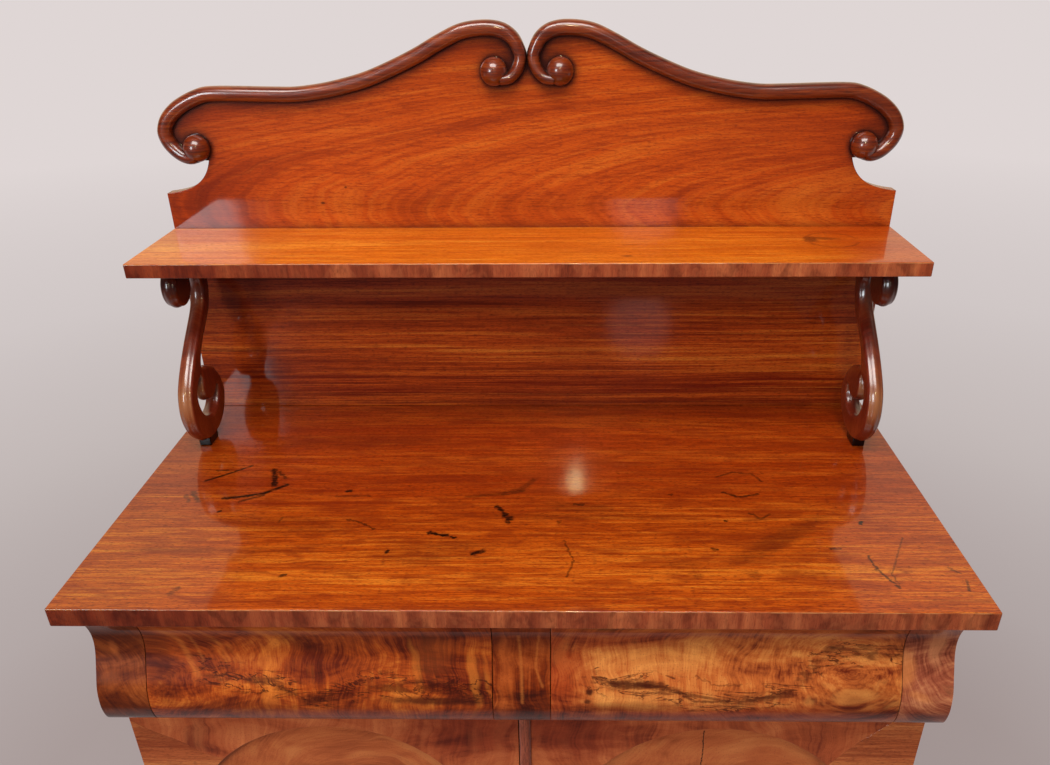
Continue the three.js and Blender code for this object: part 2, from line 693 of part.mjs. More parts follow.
// Half-round rail swept along the middle line, closed at both ends
function mouldingGeometry(side) {
  const frames = mouldingFrames(side);
  const positions = [];
  const backPlaneY = galleryFrontY - jointGap;
  frames.forEach(({ point, outward, half }) => {
    for (let corner = 0; corner <= mouldingSectionPoints; corner += 1) {
      const angle = Math.PI * corner / mouldingSectionPoints;
      const across = Math.cos(angle) * half;
      positions.push(
        point.x + outward.x * across,
        backPlaneY - Math.sin(angle) * mouldingProud,
        point.z + outward.z * across,
      );
    }
  });
  const ring = mouldingSectionPoints + 1;
  const faces = [];
  const addFace = (a, b, c) => faces.push(...(side > 0 ? [a, b, c] : [a, c, b]));
  for (let step = 0; step < mouldingSteps; step += 1) {
    for (let corner = 0; corner < ring; corner += 1) {
      const next = (corner + 1) % ring;
      const a = step * ring + corner;
      const b = step * ring + next;
      addFace(a, b, b + ring);
      addFace(a, b + ring, a + ring);
    }
  }
  for (let corner = 1; corner < mouldingSectionPoints; corner += 1) {
    const last = mouldingSteps * ring;
    addFace(0, corner + 1, corner);
    addFace(last, last + corner, last + corner + 1);
  }
  const geometry = new THREE.BufferGeometry();
  geometry.setAttribute('position', new THREE.Float32BufferAttribute(positions, 3));
  geometry.setIndex(faces);
  geometry.computeVertexNormals();
  return geometry;
}

// Round boss that ends a scroll, flat at the back
function bossGeometry(side, [across, up]) {
  const centre = [
    side * across * pedimentReach,
    galleryFrontY - bossSink,
    galleryShelfTop + up * pedimentRise,
  ];
  const ball = new THREE.SphereGeometry(bossRadius, bossSegments, bossSegments / 2);
  ball.translate(...centre);
  const behind = boxGeometry([centre[0] - 2 * bossRadius, centre[0] + 2 * bossRadius],
    [galleryFrontY - jointGap, galleryFrontY + 2 * bossRadius],
    [centre[2] - 2 * bossRadius, centre[2] + 2 * bossRadius]);
  return cutFrom(ball, behind);
}

// Outline of the pediment board: under the moulding's outer edge, then the notch and the shoulder
function pedimentOutline() {
  const base = galleryJointZ + jointGap / 2;
  const cover = (frame) => frame.half - mouldingEdgeCover;
  const frames = mouldingFrames(1);
  const edge = frames.map((frame) => new THREE.Vector2(
    frame.point.x + frame.outward.x * cover(frame),
    frame.point.z + frame.outward.z * cover(frame),
  ));
  const topFrame = edge.reduce((best, point, index) => (point.y > edge[best].y ? index : best), 0);
  let start = topFrame;
  while (edge[start - 1].x < edge[start].x && edge[start - 1].x > jointGap) {
    start -= 1;
  }
  const notchTop = new THREE.Vector2(
    notchTopShares[0] * pedimentReach,
    galleryShelfTop + notchTopShares[1] * pedimentRise,
  );
  const rightEdge = edge.slice(start).filter((point) => point.x > notchTop.x || point.y > notchTop.y);
  const shoulder = new THREE.Vector2(galleryHalf, galleryShelfTop + shoulderRise);
  const span = new THREE.Vector2().subVectors(shoulder, notchTop);
  const handles = notchHandleShares.map(([across, down]) => new THREE.Vector2(
    notchTop.x + across * span.x,
    notchTop.y + down * span.y,
  ));
  const notch = new THREE.CubicBezierCurve(notchTop, ...handles, shoulder).getPoints(notchPoints);
  const right = [...rightEdge, ...notch, new THREE.Vector2(galleryHalf, base)];
  const left = right.map((point) => new THREE.Vector2(-point.x, point.y)).reverse();
  const dip = new THREE.Vector2(0, rightEdge[0].y - middleDipShare * mouldingNeckWidth);
  return new THREE.Shape([...left, dip, ...right]);
}

function addGallery() {
  addBoard('gallery_lower_board', [-galleryHalf, galleryHalf], [galleryFrontY, backY],
    [worktopHeight + jointGap, galleryJointZ - jointGap / 2], finishes.panelWood);
  addPart('gallery_upper_board', extrudeAlongY(pedimentOutline(), galleryFrontY, backY),
    finishes.topWood);
  addBoard('gallery_shelf', [-galleryHalf, galleryHalf],
    [galleryFrontY - jointGap - galleryShelfDepth, galleryFrontY - jointGap],
    [galleryShelfUnderside, galleryShelfTop], finishes.topWood);
  for (const side of [-1, 1]) {
    const name = sideName(side);
    const inner = toSolid(bossGeometry(side, innerBossShares));
    const outer = toSolid(bossGeometry(side, outerBossShares));
    const moulding = toSolid(mouldingGeometry(side)).add(inner).add(outer);
    addPart(`pediment_scroll_${name}`, toGeometry(moulding), finishes.carvedWood);
  }
}

// Points of a smooth line through the given ones
function smoothPoints(points) {
  return new THREE.SplineCurve(points).getPoints(points.length * supportSplineStep);
}

// Points of a clockwise arc, without its ends
function arcPoints(centre, radius, fromAngle, toAngle) {
  const arc = new THREE.EllipseCurve(centre.x, centre.y, radius, radius, fromAngle, toAngle, true);
  return arc.getPoints(supportArcPoints).slice(1, -1);
}

// Scroll support, drawn in Y and Z from its belly and its bottom
function supportShape() {
  const bottom = worktopHeight + supportFootHeight + jointGap;
  const height = galleryShelfUnderside - jointGap - bottom;
  const bellyY = galleryFrontY - galleryShelfDepth + supportFrontSetback;
  const at = ([along, up]) => new THREE.Vector2(bellyY + along * supportDepth, bottom + up * height);
  const roll = at(supportRollShares);
  const eye = at(supportEyeShares);
  const front = supportFrontShares.map(at);
  const hole = supportHoleShares.map(at);
  const angleFrom = (centre, point) => Math.atan2(point.y - centre.y, point.x - centre.x);
  const outline = [
    ...smoothPoints(front),
    ...arcPoints(roll, supportRollRadius, angleFrom(roll, front.at(-1)), Math.PI / 2),
    ...smoothPoints(supportRearShares.map(at)),
    ...smoothPoints(supportVoluteShares.map(at)).slice(1),
  ];
  const shape = new THREE.Shape(outline);
  shape.holes.push(new THREE.Path([
    ...smoothPoints(hole),
    ...arcPoints(eye, supportEyeRadius, angleFrom(eye, hole.at(-1)),
      THREE.MathUtils.degToRad(eyeSlitEndDegrees)),
  ]));
  return shape;
}

// Each support stands on a small block, which is one piece with it
function addSupports() {
  const outer = galleryHalf - supportInset;
  const inner = outer - supportThickness;
  const footMiddleX = (outer + inner) / 2;
  const bellyY = galleryFrontY - galleryShelfDepth + supportFrontSetback;
  const footMiddleY = bellyY + supportFrontShares[0][0] * supportDepth;
  for (const side of [-1, 1]) {
    const [x0, x1] = sideSpan(side, inner, outer);
    const foot = boxGeometry(
      sideSpan(side, footMiddleX - supportFootWidth / 2, footMiddleX + supportFootWidth / 2),
      [footMiddleY - supportFootLength / 2, footMiddleY + supportFootLength / 2],
      [worktopHeight + jointGap, worktopHeight + supportFootHeight + supportFootSink]);
    addPart(`scroll_support_${sideName(side)}`, joinAll(extrudeAlongX(supportShape(), x0, x1), foot),
      finishes.carvedWood);
  }
}

addCarcass();
addFrieze();
addDrawers();
addRunners();
addDoors();
addHinges();
addLock();
addKey();
addBoard('worktop', [-worktopWidth / 2, worktopWidth / 2], [frontY, backY],
  [worktopUnderside, worktopHeight], finishes.topWood);
addGallery();
addSupports();

export default chiffonier;
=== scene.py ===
# Looks of a mahogany chiffonier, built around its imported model, in metres with +Z up.

import math

import bmesh
import bpy
from mathutils import Matrix, Vector


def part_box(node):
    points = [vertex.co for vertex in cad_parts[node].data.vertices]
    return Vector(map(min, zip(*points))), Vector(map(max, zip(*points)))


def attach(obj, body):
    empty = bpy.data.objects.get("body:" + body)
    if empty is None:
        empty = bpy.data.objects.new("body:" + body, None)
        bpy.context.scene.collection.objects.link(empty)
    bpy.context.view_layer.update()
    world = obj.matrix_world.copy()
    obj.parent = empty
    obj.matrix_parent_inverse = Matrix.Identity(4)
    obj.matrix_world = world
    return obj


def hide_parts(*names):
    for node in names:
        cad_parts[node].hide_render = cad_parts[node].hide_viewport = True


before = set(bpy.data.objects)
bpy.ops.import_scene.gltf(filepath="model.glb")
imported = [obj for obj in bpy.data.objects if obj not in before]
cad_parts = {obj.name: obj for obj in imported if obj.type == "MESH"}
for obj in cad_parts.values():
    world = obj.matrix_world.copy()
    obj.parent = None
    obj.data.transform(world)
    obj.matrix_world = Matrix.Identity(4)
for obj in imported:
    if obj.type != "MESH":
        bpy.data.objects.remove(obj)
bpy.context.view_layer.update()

MM = 0.001
SIDES = ((-1, "left"), (1, "right"))

# Shape tables, as shares of the sizes that they follow
OGEE_SHARES = (
    (0.42, 0), (0.60, 0.05), (0.92, 0.17), (1, 0.27), (0.875, 0.37), (0.5, 0.5),
    (0.125, 0.63), (0, 0.75), (0.04, 0.84), (0.25, 0.935), (0.67, 1),
)
MOULDING_SHARES = (
    (0.070, 0.738), (0.046, 0.744), (0.028, 0.776), (0.018, 0.815), (0.0165, 0.842), (0.0195, 0.866),
    (0.036, 0.922), (0.065, 0.957), (0.109, 0.967), (0.166, 0.953), (0.222, 0.908), (0.283, 0.848),
    (0.348, 0.793), (0.418, 0.742), (0.479, 0.711), (0.543, 0.687), (0.614, 0.672), (0.685, 0.672),
    (0.776, 0.676), (0.844, 0.676), (0.877, 0.662), (0.909, 0.637), (0.937, 0.607), (0.960, 0.570),
    (0.974, 0.533), (0.981, 0.488), (0.974, 0.443), (0.960, 0.409), (0.942, 0.383), (0.922, 0.372),
    (0.906, 0.380),
)
INNER_BOSS_SHARES = (0.086, 0.773)
OUTER_BOSS_SHARES = (0.901, 0.416)
NOTCH_TOP_SHARES = (0.878, 0.352)
NOTCH_HANDLE_SHARES = ((0.12, 0.62), (0.38, 0.90))
MIDDLE_DIP_SHARE = 0.18
NECK_END_SHARE = 0.16
SUPPORT_FRONT_SHARES = (
    (0.39, 0), (0.23, 0.02), (0.10, 0.08), (0.02, 0.16), (0, 0.24), (0.04, 0.33), (0.125, 0.40),
    (0.265, 0.48), (0.43, 0.56), (0.57, 0.62), (0.73, 0.69), (0.80, 0.74), (0.83, 0.80),
    (0.81, 0.85), (0.74, 0.90), (0.65, 0.925), (0.57, 0.91),
)
SUPPORT_REAR_SHARES = (
    (0.69, 1), (0.84, 0.975), (0.95, 0.92), (1, 0.84), (0.98, 0.76), (0.89, 0.67), (0.73, 0.60),
    (0.545, 0.52), (0.45, 0.46), (0.42, 0.42),
)
SUPPORT_VOLUTE_SHARES = (
    (0.42, 0.42), (0.49, 0.402), (0.58, 0.392), (0.70, 0.36), (0.80, 0.30), (0.86, 0.235),
    (0.875, 0.17), (0.82, 0.105), (0.73, 0.05), (0.57, 0.01), (0.39, 0),
)
SUPPORT_HOLE_SHARES = (
    (0.37, 0.385), (0.29, 0.36), (0.21, 0.32), (0.19, 0.274), (0.205, 0.226), (0.26, 0.174),
    (0.36, 0.134), (0.49, 0.118), (0.62, 0.138), (0.70, 0.186), (0.725, 0.238),
)
SUPPORT_ROLL_SHARES = (0.385, 0.89)
SUPPORT_EYE_SHARES = (0.54, 0.30)
EYE_SLIT_END = math.radians(140)

# Sizes that the shape tables and the fine pieces need
GAP = 0.2 * MM
FRIEZE_HEIGHT = 152 * MM
OGEE_DEPTH = 24 * MM
OGEE_SETBACK = 2 * MM
OGEE_EDGE = 0.6 * MM
PEDIMENT_RISE = 260.5 * MM
PEDIMENT_REACH = 495 * MM
SHOULDER_RISE = 48 * MM
MOULDING_WIDTH = 19 * MM
NECK_WIDTH = 15 * MM
MOULDING_PROUD = 12 * MM
EDGE_COVER = 2 * MM
CURL_SHARE = 0.07
CURL_RISE = 6 * MM
CURL_STEEPNESS = 1.5
MOULDING_FULLNESS = (0.9, 0.8)
BOSS_RADIUS = 17.5 * MM
BOSS_SINK = 5 * MM
SUPPORT_DEPTH = 136 * MM
SUPPORT_SETBACK = 2 * MM
SUPPORT_FOOT_HEIGHT = 9.5 * MM
SUPPORT_FOOT_HALF = (8.5 * MM, 15 * MM)
SUPPORT_FOOT_COVER = 4 * MM
SUPPORT_FOOT_EDGE = 1.5 * MM
SUPPORT_ROLL_RADIUS = 26 * MM
SUPPORT_EYE_RADIUS = 24 * MM
SUPPORT_EDGE = 4.5 * MM
SUPPORT_CROWN = 2.4 * MM
CROWN_CUTS = (-0.7, -0.35, 0.0, 0.35, 0.7)
# Faces that look to the back by more than the limit get no crown, and over the fade it grows
CROWN_LIMIT, CROWN_FADE = 0.2, 0.6
ARCH_RADIUS = 184 * MM
ARCH_CROWN = 30 * MM
PANEL_SINK = 9 * MM
VENEER = 0.9 * MM
VENEER_EDGE = 0.3 * MM
DOOR_EDGE = 0.5 * MM
SPANDREL_EDGE = 0.2 * MM
SPANDREL_FOOT_SHARE = 0.05
TOP_BAR_RISE = 8 * MM
BEAD_END = 1.2 * MM
BEAD_END_SHARE = 0.86
BOLT_THROW = 8 * MM
KEY_ROOM = 1 * MM
KEY_BIT_REACH = 5 * MM
KEY_BIT_THICKNESS = 2.4 * MM
LOCK_JOINT = 0.2 * MM
# How far the cutters of the lock's pocket and of the keyhole reach past the wood
POCKET_PAST = 1 * MM
CUT_PAST = 2 * MM
# Curved joint in each door's veneer: distance out from its middle and down from its top, in mm.
# The last point lies on the arch.
DOOR_JOINTS = {
    "left": ((236.5, 21), (214, 39), (182, 57), (157, 77), (133.1, 87)),
    "right": ((221, 0), (196.4, 25), (171, 50), (151, 74), (137.7, 92)),
}
BOARD_EDGE = 0.8 * MM
WORN_EDGE = 1.4 * MM
BACK_BOARD_COUNT = 5
BACK_BOARD_GAP = 0.8 * MM
BACK_BOARD_EDGE = 1 * MM
LEDGER_HEIGHT = 26 * MM
LEDGER_DEPTH = 32 * MM
SAME_POINT = 0.01 * MM
OUTLINE_GAP = 2 * MM
ARC_STEPS = 48
SUPPORT_STEPS = 8
PROFILE_STEPS = 6
MOULDING_STEPS = 24
# Degrees between faces from which an edge is sharp
BOARD_CREASE, MOULDING_CREASE, OGEE_CREASE, OPENING_CREASE = 60, 50, 40, 35

# Camera, in metres and degrees, for a 1050 by 765 picture
PICTURE_WIDTH = 1050
CAMERA_PLACE = (0.0449, -1.0042, 1.5022)
CAMERA_TURN = 1.165
CAMERA_DOWN = 29.273
CAMERA_ROLL = -0.495
CAMERA_FOCUS_PIXELS = 889.0
CAMERA_AXIS_PIXELS = (20.6, 76.9)
SENSOR_WIDTH = 36.0

# Studio: the background, what polish mirrors behind and in front, the floor and the colours that it
# glows with, darker near the cabinet as painted shade, at distances in metres from the middle of the
# cabinet
BACKGROUND = "#dfd6d5"
MIRRORED = "#dcc6a8"
DIM_ROOM = "#40383a"
BEHIND = (0.15, 0.5)
WORLD_STRENGTH = 0.30
WORLD_COLOUR = (1.0, 0.96, 0.92, 1.0)
FLOOR_HALF = 9.0
FLOOR_COLOUR = "#b4aaa8"
FLOOR_SHADES = ((1.1, "#a99a99"), (1.5, "#b8acab"), (2.3, "#c2b8b6"), (3.9, "#d0c7c6"),
                (8.0, BACKGROUND))
FLOOR_FADE = (1.0, 2.6)
FLOOR_FRONT = (-0.9, -0.3)
DIM_FLOOR = "#64564f"
# Area lights: name, place and size in metres, watts, colour and shape
LIGHTS_AIM = (0.0, 0.0, 0.9)
LIGHTS = (
    ("overhead", (-0.2, -1.1, 3.3), (1.9, 1.0), 66.0, (1.0, 0.97, 0.93), "RECTANGLE"),
    ("window", (-1.85, -2.6, 2.0), (0.8, 1.0), 42.0, (0.86, 0.95, 1.0), "RECTANGLE"),
    ("lamp", (0.117, -2.5, 2.68), (0.05, 0.17), 6.0, (1.0, 0.9, 0.45), "ELLIPSE"),
    ("lampshade", (0.117, -2.36, 2.70), (0.10, 0.50), 5.0, (1.0, 0.86, 0.55), "ELLIPSE"),
    ("doorway", (0.41, -2.5, 1.8), (0.3, 0.3), 1.1, (1.0, 0.9, 0.9), "ELLIPSE"),
)


def tint(code):
    """Linear colour of a web colour such as #a8481c."""
    parts = [int(code[i:i + 2], 16) / 255 for i in (1, 3, 5)]
    return tuple(c / 12.92 if c <= 0.04045 else ((c + 0.055) / 1.055) ** 2.4 for c in parts) + (1.0,)


class Graph:
    """Nodes of a new material or world, built with short calls. Most return an output socket."""

    def __init__(self, owner, space="Object"):
        owner.use_nodes = True
        self.tree = owner.node_tree
        self.tree.nodes.clear()
        self.place = self.add("ShaderNodeTexCoord").outputs[space]
        split = self.add("ShaderNodeSeparateXYZ", {0: self.place})
        self.axis = dict(zip("xyz", split.outputs))

    def add(self, kind, values=None, **settings):
        node = self.tree.nodes.new(kind)
        for key, value in settings.items():
            setattr(node, key, value)
        for key, value in (values or {}).items():
            self.put(node.inputs[key], value)
        return node

    def put(self, socket, value):
        if isinstance(value, bpy.types.NodeSocket):
            self.tree.links.new(value, socket)
        else:
            socket.default_value = value

    def math(self, operation, a, b=0.0):
        return self.add("ShaderNodeMath", {0: a, 1: b}, operation=operation).outputs[0]

    def plus(self, a, b):
        return self.math("ADD", a, b)

    def minus(self, a, b):
        return self.math("SUBTRACT", a, b)

    def times(self, a, b):
        return self.math("MULTIPLY", a, b)

    def largest(self, *parts):
        total, *rest = parts
        for part in rest:
            total = self.math("MAXIMUM", total, part)
        return total

    def weighed(self, total, parts, weights):
        """The total and the parts, each times its weight."""
        for part, weight in zip(parts, weights):
            total = self.plus(total, self.times(part, weight))
        return total

    def distance(self, a, b):
        """Length of the hypotenuse over a and b."""
        return self.math("SQRT", self.plus(self.times(a, a), self.times(b, b)))

    def vector(self, x, y=0.0, z=0.0):
        return self.add("ShaderNodeCombineXYZ", {0: x, 1: y, 2: z}).outputs[0]

    def between(self, operation, a, b, output=0):
        """Vector maths on a and b. Output 1 is the number that a dot product or a distance gives."""
        return self.add("ShaderNodeVectorMath", {0: a, 1: b}, operation=operation).outputs[output]

    def scaled(self, vector, scales):
        return self.between("MULTIPLY", vector, scales)

    def near_line(self, place, start, end, half_width, strength, soft=0.3):
        """Strength on a line from start to end, in millimetres, and 0 beside it."""
        first = Vector((*start, 0.0)) * MM
        run = Vector((*end, 0.0)) * MM - first
        offset = self.between("SUBTRACT", place, first)
        share = self.between("DOT_PRODUCT", offset, run / run.length_squared, 1)
        share = self.add("ShaderNodeClamp", {0: share}).outputs[0]
        foot = self.add("ShaderNodeVectorMath", {0: run, 3: share}, operation="SCALE").outputs[0]
        away = self.between("DISTANCE", offset, foot, 1)
        return self.step(away, half_width * soft * MM, half_width * 1.3 * MM, strength, 0.0)

    def noise(self, vector, scales, detail=2.0, roughness=0.5, distortion=0.0):
        values = {"Vector": self.scaled(vector, scales), "Scale": 1.0, "Detail": detail,
                  "Roughness": roughness, "Distortion": distortion}
        return self.add("ShaderNodeTexNoise", values).outputs[0]

    def sway(self, vector, scales, *settings):
        """Noise that is as often below zero as above it."""
        return self.minus(self.noise(vector, scales, *settings), 0.5)

    def step(self, value, low, high, to_low=0.0, to_high=1.0):
        """A smooth step of value between low and high."""
        values = {0: value, 1: low, 2: high, 3: to_low, 4: to_high}
        return self.add("ShaderNodeMapRange", values, interpolation_type="SMOOTHSTEP").outputs[0]

    def mix(self, share, a, b, blend="MIX"):
        node = self.add("ShaderNodeMix", data_type="RGBA", blend_type=blend)
        for index, value in ((0, share), (6, a), (7, b)):
            self.put(node.inputs[index], value)
        return node.outputs[2]

    def paint(self, colour, share, tone, blend="MIX"):
        """The colour with a share of a web colour in it."""
        return self.mix(share, colour, tint(tone), blend)

    def ramp(self, value, stops):
        node = self.add("ShaderNodeValToRGB", {0: value})
        elements = node.color_ramp.elements
        while len(elements) < len(stops):
            elements.new(0.5)
        for element, (position, colour) in zip(elements, stops):
            element.position = position
            element.color = colour
        return node.outputs[0]

    def recess(self, reach):
        """1 on open surfaces, falling towards 0 in corners and grooves."""
        return self.add("ShaderNodeAmbientOcclusion", {"Distance": reach}, samples=8).outputs["AO"]

    def bump(self, height, distance, strength=1.0):
        values = {"Strength": strength, "Distance": distance, "Height": height}
        return self.add("ShaderNodeBump", values).outputs[0]

    def blend(self, share, first, second):
        """Two shaders, the second one with the share."""
        return self.add("ShaderNodeMixShader", {0: share, 1: first, 2: second}).outputs[0]

    def surface(self, colour, roughness, normal=None, **constants):
        shader = self.add("ShaderNodeBsdfPrincipled", {"Base Color": colour, "Roughness": roughness})
        for key, value in constants.items():
            shader.inputs[key.replace("_", " ")].default_value = value
        if normal is not None:
            self.put(shader.inputs["Normal"], normal)
        return shader.outputs[0]

    def finish(self, shader, kind="ShaderNodeOutputMaterial"):
        self.add(kind, {0: shader})


def new_graph(name):
    return Graph(bpy.data.materials.new(name))


def polish_of(weight, roughness, level):
    """A clear coat's weight and roughness, and the gloss of the wood under it."""
    return {"Coat_Weight": weight, "Coat_Roughness": roughness, "Coat_IOR": 1.5,
            "Specular_IOR_Level": level}


# Depths of pores and grain, a pale edge line's distance under its edge, and its inner and outer half
# width; the line is worn polish with a painted highlight
PORE_DEPTH = 0.05 * MM
VENEER_PORE_DEPTH = 0.04 * MM
PINE_RELIEF = 0.3 * MM
METAL_RELIEF = 0.05 * MM
WEAR_AND_SHEEN_DROP, WEAR_AND_SHEEN_FULL, WEAR_AND_SHEEN_WHOLE = 0.9 * MM, 0.3 * MM, 0.8 * MM
POLISH = polish_of(0.75, 0.07, 0.12)
DULL_POLISH = polish_of(0.35, 0.2, 0.2)
MOULDING_POLISH = polish_of(0.9, 0.12, 0.4)
CARVED_POLISH = polish_of(1.0, 0.15, 0.4)


# Steps that a wood can have after its grain. Each takes the graph and a colour, and returns a colour.

def flat_place(graph, plane):
    """The two coordinates of a face as X and Y of a vector."""
    return graph.vector(graph.axis[plane[0]], graph.axis[plane[1]])


def lines(marks, tone="#130402", wobble=7.0, soft=0.3, plane="xz"):
    """Dark or pale lines: points in millimetres, half width and strength."""
    def draw(graph, colour):
        flat = flat_place(graph, plane)
        shift = graph.times(graph.sway(flat, (170.0, 170.0, 1.0), 2.0), wobble * MM)
        place = graph.between("ADD", flat, graph.vector(shift, shift))
        rub = graph.step(graph.noise(flat, (110.0, 420.0, 1.0), 3.0), 0.30, 0.52, 0.4, 1.0)
        near = [graph.near_line(place, start, end, half_width, strength, soft)
                for points, half_width, strength in marks
                for start, end in zip(points, points[1:])]
        return graph.paint(colour, graph.times(graph.largest(*near), rub), tone)
    return draw


def stains(spots, tone="#3a0f05", blend="MIX", plane="xz"):
    """Soft ovals: centre, half length and half width in millimetres, turn in degrees, strength."""
    def draw(graph, colour):
        flat = flat_place(graph, plane)
        cloud = graph.sway(flat, (40.0, 90.0, 1.0), 4.0, 0.65)
        near = []
        for (cx, cy), half_length, half_width, turn, strength in spots:
            angle = math.radians(turn)
            across = Vector((-math.sin(angle), math.cos(angle), 0)) / (half_width * MM)
            along = Vector((math.cos(angle), math.sin(angle), 0)) / (half_length * MM)
            offset = graph.between("SUBTRACT", flat, Vector((cx, cy, 0)) * MM)
            ring = graph.distance(graph.between("DOT_PRODUCT", offset, along, 1),
                                  graph.between("DOT_PRODUCT", offset, across, 1))
            near.append(graph.step(graph.plus(ring, cloud), 0.35, 1.15, strength, 0.0))
        return graph.paint(colour, graph.largest(*near), tone, blend)
    return draw


def fade(axis, start, end, tone, strength):
    """A slow change towards another tone, from start to end in millimetres along an axis."""
    def draw(graph, colour):
        cloud = graph.sway(graph.place, (5.0, 5.0, 5.0), 2.0)
        place = graph.plus(graph.axis[axis], graph.times(cloud, abs(end - start) * 0.5 * MM))
        low, high = sorted((start, end))
        ends = (0.0, strength) if start < end else (strength, 0.0)
        share = graph.step(place, low * MM, high * MM, *ends)
        return graph.paint(colour, share, tone, "MULTIPLY")
    return draw


def grime_and_shade(reach, strength, tone="#1c0603", open_from=0.95, closed_at=0.25, above=None):
    """Painted shade with old polish and dust in corners, or only in those above two heights in
    millimetres.
    """
    def draw(graph, colour):
        shade = graph.step(graph.recess(reach), closed_at, open_from, strength, 0.0)
        if above:
            shade = graph.times(shade, graph.step(graph.axis["z"], above[0] * MM, above[1] * MM))
        return graph.paint(colour, shade, tone)
    return draw


def clouds(plane, scales, strength, tone):
    """Soft patches of another tone."""
    def draw(graph, colour):
        cloud = graph.noise(flat_place(graph, plane), (*scales, 1.0), 3.0, 0.55, 0.9)
        return graph.paint(colour, graph.step(cloud, 0.46, 0.66, 0.0, strength), tone)
    return draw


def painted_front_highlight(low, high, strength, tone):
    """Faces to the front painted paler between two heights, as a painted highlight."""
    def draw(graph, colour):
        facing = graph.add("ShaderNodeTexCoord").outputs["Normal"]
        facing = graph.between("DOT_PRODUCT", facing, (0.0, -1.0, 0.0), 1)
        middle, half = (low + high) / 2 * MM, (high - low) / 2 * MM
        level = graph.math("ABSOLUTE", graph.minus(graph.axis["z"], middle))
        between = graph.step(level, half * 0.3, half, strength, 0.0)
        return graph.paint(colour, graph.times(graph.step(facing, 0.55, 0.97), between), tone)
    return draw


def wear_and_sheen_edges(levels):
    """Broken pale lines where an upper edge has lost its polish and where a highlight is painted, at
    heights in millimetres.
    """
    def draw(graph, colour):
        worn = graph.step(graph.noise(graph.place, (38.0, 1.0, 1.0), 4.0, 0.7), 0.36, 0.62, 0.1, 0.75)
        for level in levels:
            below = graph.math("ABSOLUTE", graph.minus(graph.axis["z"], level * MM - WEAR_AND_SHEEN_DROP))
            near = graph.step(below, WEAR_AND_SHEEN_FULL, WEAR_AND_SHEEN_WHOLE, 1.0, 0.0)
            colour = graph.paint(colour, graph.times(near, worn), "#b87c4c")
        return colour
    return draw


def cross_lines(plane, strength, tone):
    """Fine ripples across the grain."""
    def draw(graph, colour):
        ripple = graph.noise(flat_place(graph, plane), (150.0, 22.0, 1.0), 3.0, 0.6)
        return graph.paint(colour, graph.step(ripple, 0.42, 0.68, 0.0, strength), tone)
    return draw


def board_place(graph, axes, seed):
    """Coordinates along the grain, across it and into the board, moved apart by the seed."""
    along, across, into = (graph.axis[name] for name in axes)
    return (graph.plus(along, seed * 1.37), graph.plus(across, seed * 0.61),
            graph.plus(into, seed * 0.29))


def plain_grain(graph, axes, seed, core=None, bend=0.018, streak=1.0,
                weights=(0.40, 0.30, 0.30)):
    """Tone of straight-grained mahogany, 0 dark to 1 light, its details and its place.

    The details are dark dashes, small pores and light threads.

    core is the place, depth and slope of the log's middle, for arched figure. A small streak makes
    long streaks. The weights are those of the wide, the narrow and the fine streaks.
    """
    along, across, into = board_place(graph, axes, seed)
    place = graph.vector(along, across, into)
    slow = graph.sway(place, (1.1, 3.2, 3.2), 2.0)
    quick = graph.sway(place, (4.5, 16.0, 16.0), 2.0)
    waves = graph.plus(graph.times(slow, bend * 2), graph.times(quick, bend * 0.22))
    rings = graph.plus(across, waves)
    if core:
        centre, depth, slope = core
        start = graph.plus(graph.minus(graph.axis[axes[1]], centre), graph.times(slow, bend * 2))
        lean = graph.plus(graph.times(graph.axis[axes[0]], slope), depth)
        rings = graph.distance(start, graph.plus(lean, graph.times(quick, bend * 0.5)))
    line = graph.vector(graph.times(along, streak), rings, into)
    parts = (graph.noise(line, (2.2, 30.0, 4.0), 3.0, 0.6, 0.3),
             graph.noise(line, (8.0, 170.0, 10.0), 3.0, 0.62, 0.2),
             graph.noise(line, (26.0, 540.0, 30.0), 2.0, 0.6))
    tone = graph.weighed(0.5 - 0.5 * sum(weights), parts, weights)
    short = graph.vector(along, graph.plus(across, graph.times(slow, bend * 2)), into)
    dash = graph.noise(short, (34.0, 560.0, 60.0), 4.0, 0.7)
    dash = graph.plus(dash, graph.times(graph.minus(0.5, tone), 0.5))
    dashes = graph.step(dash, 0.50, 0.60)
    pores = graph.step(graph.noise(short, (160.0, 1300.0, 90.0), 2.0, 0.55), 0.52, 0.64)
    threads = graph.step(graph.noise(line, (7.0, 460.0, 30.0), 3.0, 0.55, 0.2), 0.56, 0.70)
    return tone, (dashes, pores, threads), place


def wood(name, axes, palette, seed, core=None, bend=0.018, contrast=0.12, dash_depth=0.5,
         pore_depth=0.5, thread_depth=0.3, roughness=0.34, streak=1.0, weights=(0.40, 0.30, 0.30),
         steps=(), polish=POLISH):
    """Plain mahogany. The palette is its dark, middle and light colours and its pores'."""
    graph = new_graph(name)
    tone, details, place = plain_grain(graph, axes, seed, core, bend, streak, weights)
    dashes, pores, threads = details
    dark, middle, light, pore_colour = (tint(code) for code in palette)
    colour = graph.ramp(tone, ((0.5 - contrast, dark), (0.5, middle), (0.5 + contrast, light)))
    patch = graph.noise(place, (2.1, 5.4, 4.4), 4.0, 0.6)
    colour = graph.mix(graph.step(patch, 0.46, 0.74, 0.0, 0.5), colour, dark)
    colour = graph.mix(graph.times(threads, thread_depth), colour, light)
    colour = graph.mix(graph.times(dashes, dash_depth), colour, dark)
    colour = graph.mix(graph.times(pores, pore_depth), colour, pore_colour)
    for step in steps:
        colour = step(graph, colour)
    rough = graph.plus(graph.times(pores, 0.2), roughness)
    normal = graph.bump(graph.times(pores, -1.0), PORE_DEPTH, 0.5)
    graph.finish(graph.surface(colour, rough, normal, **polish))


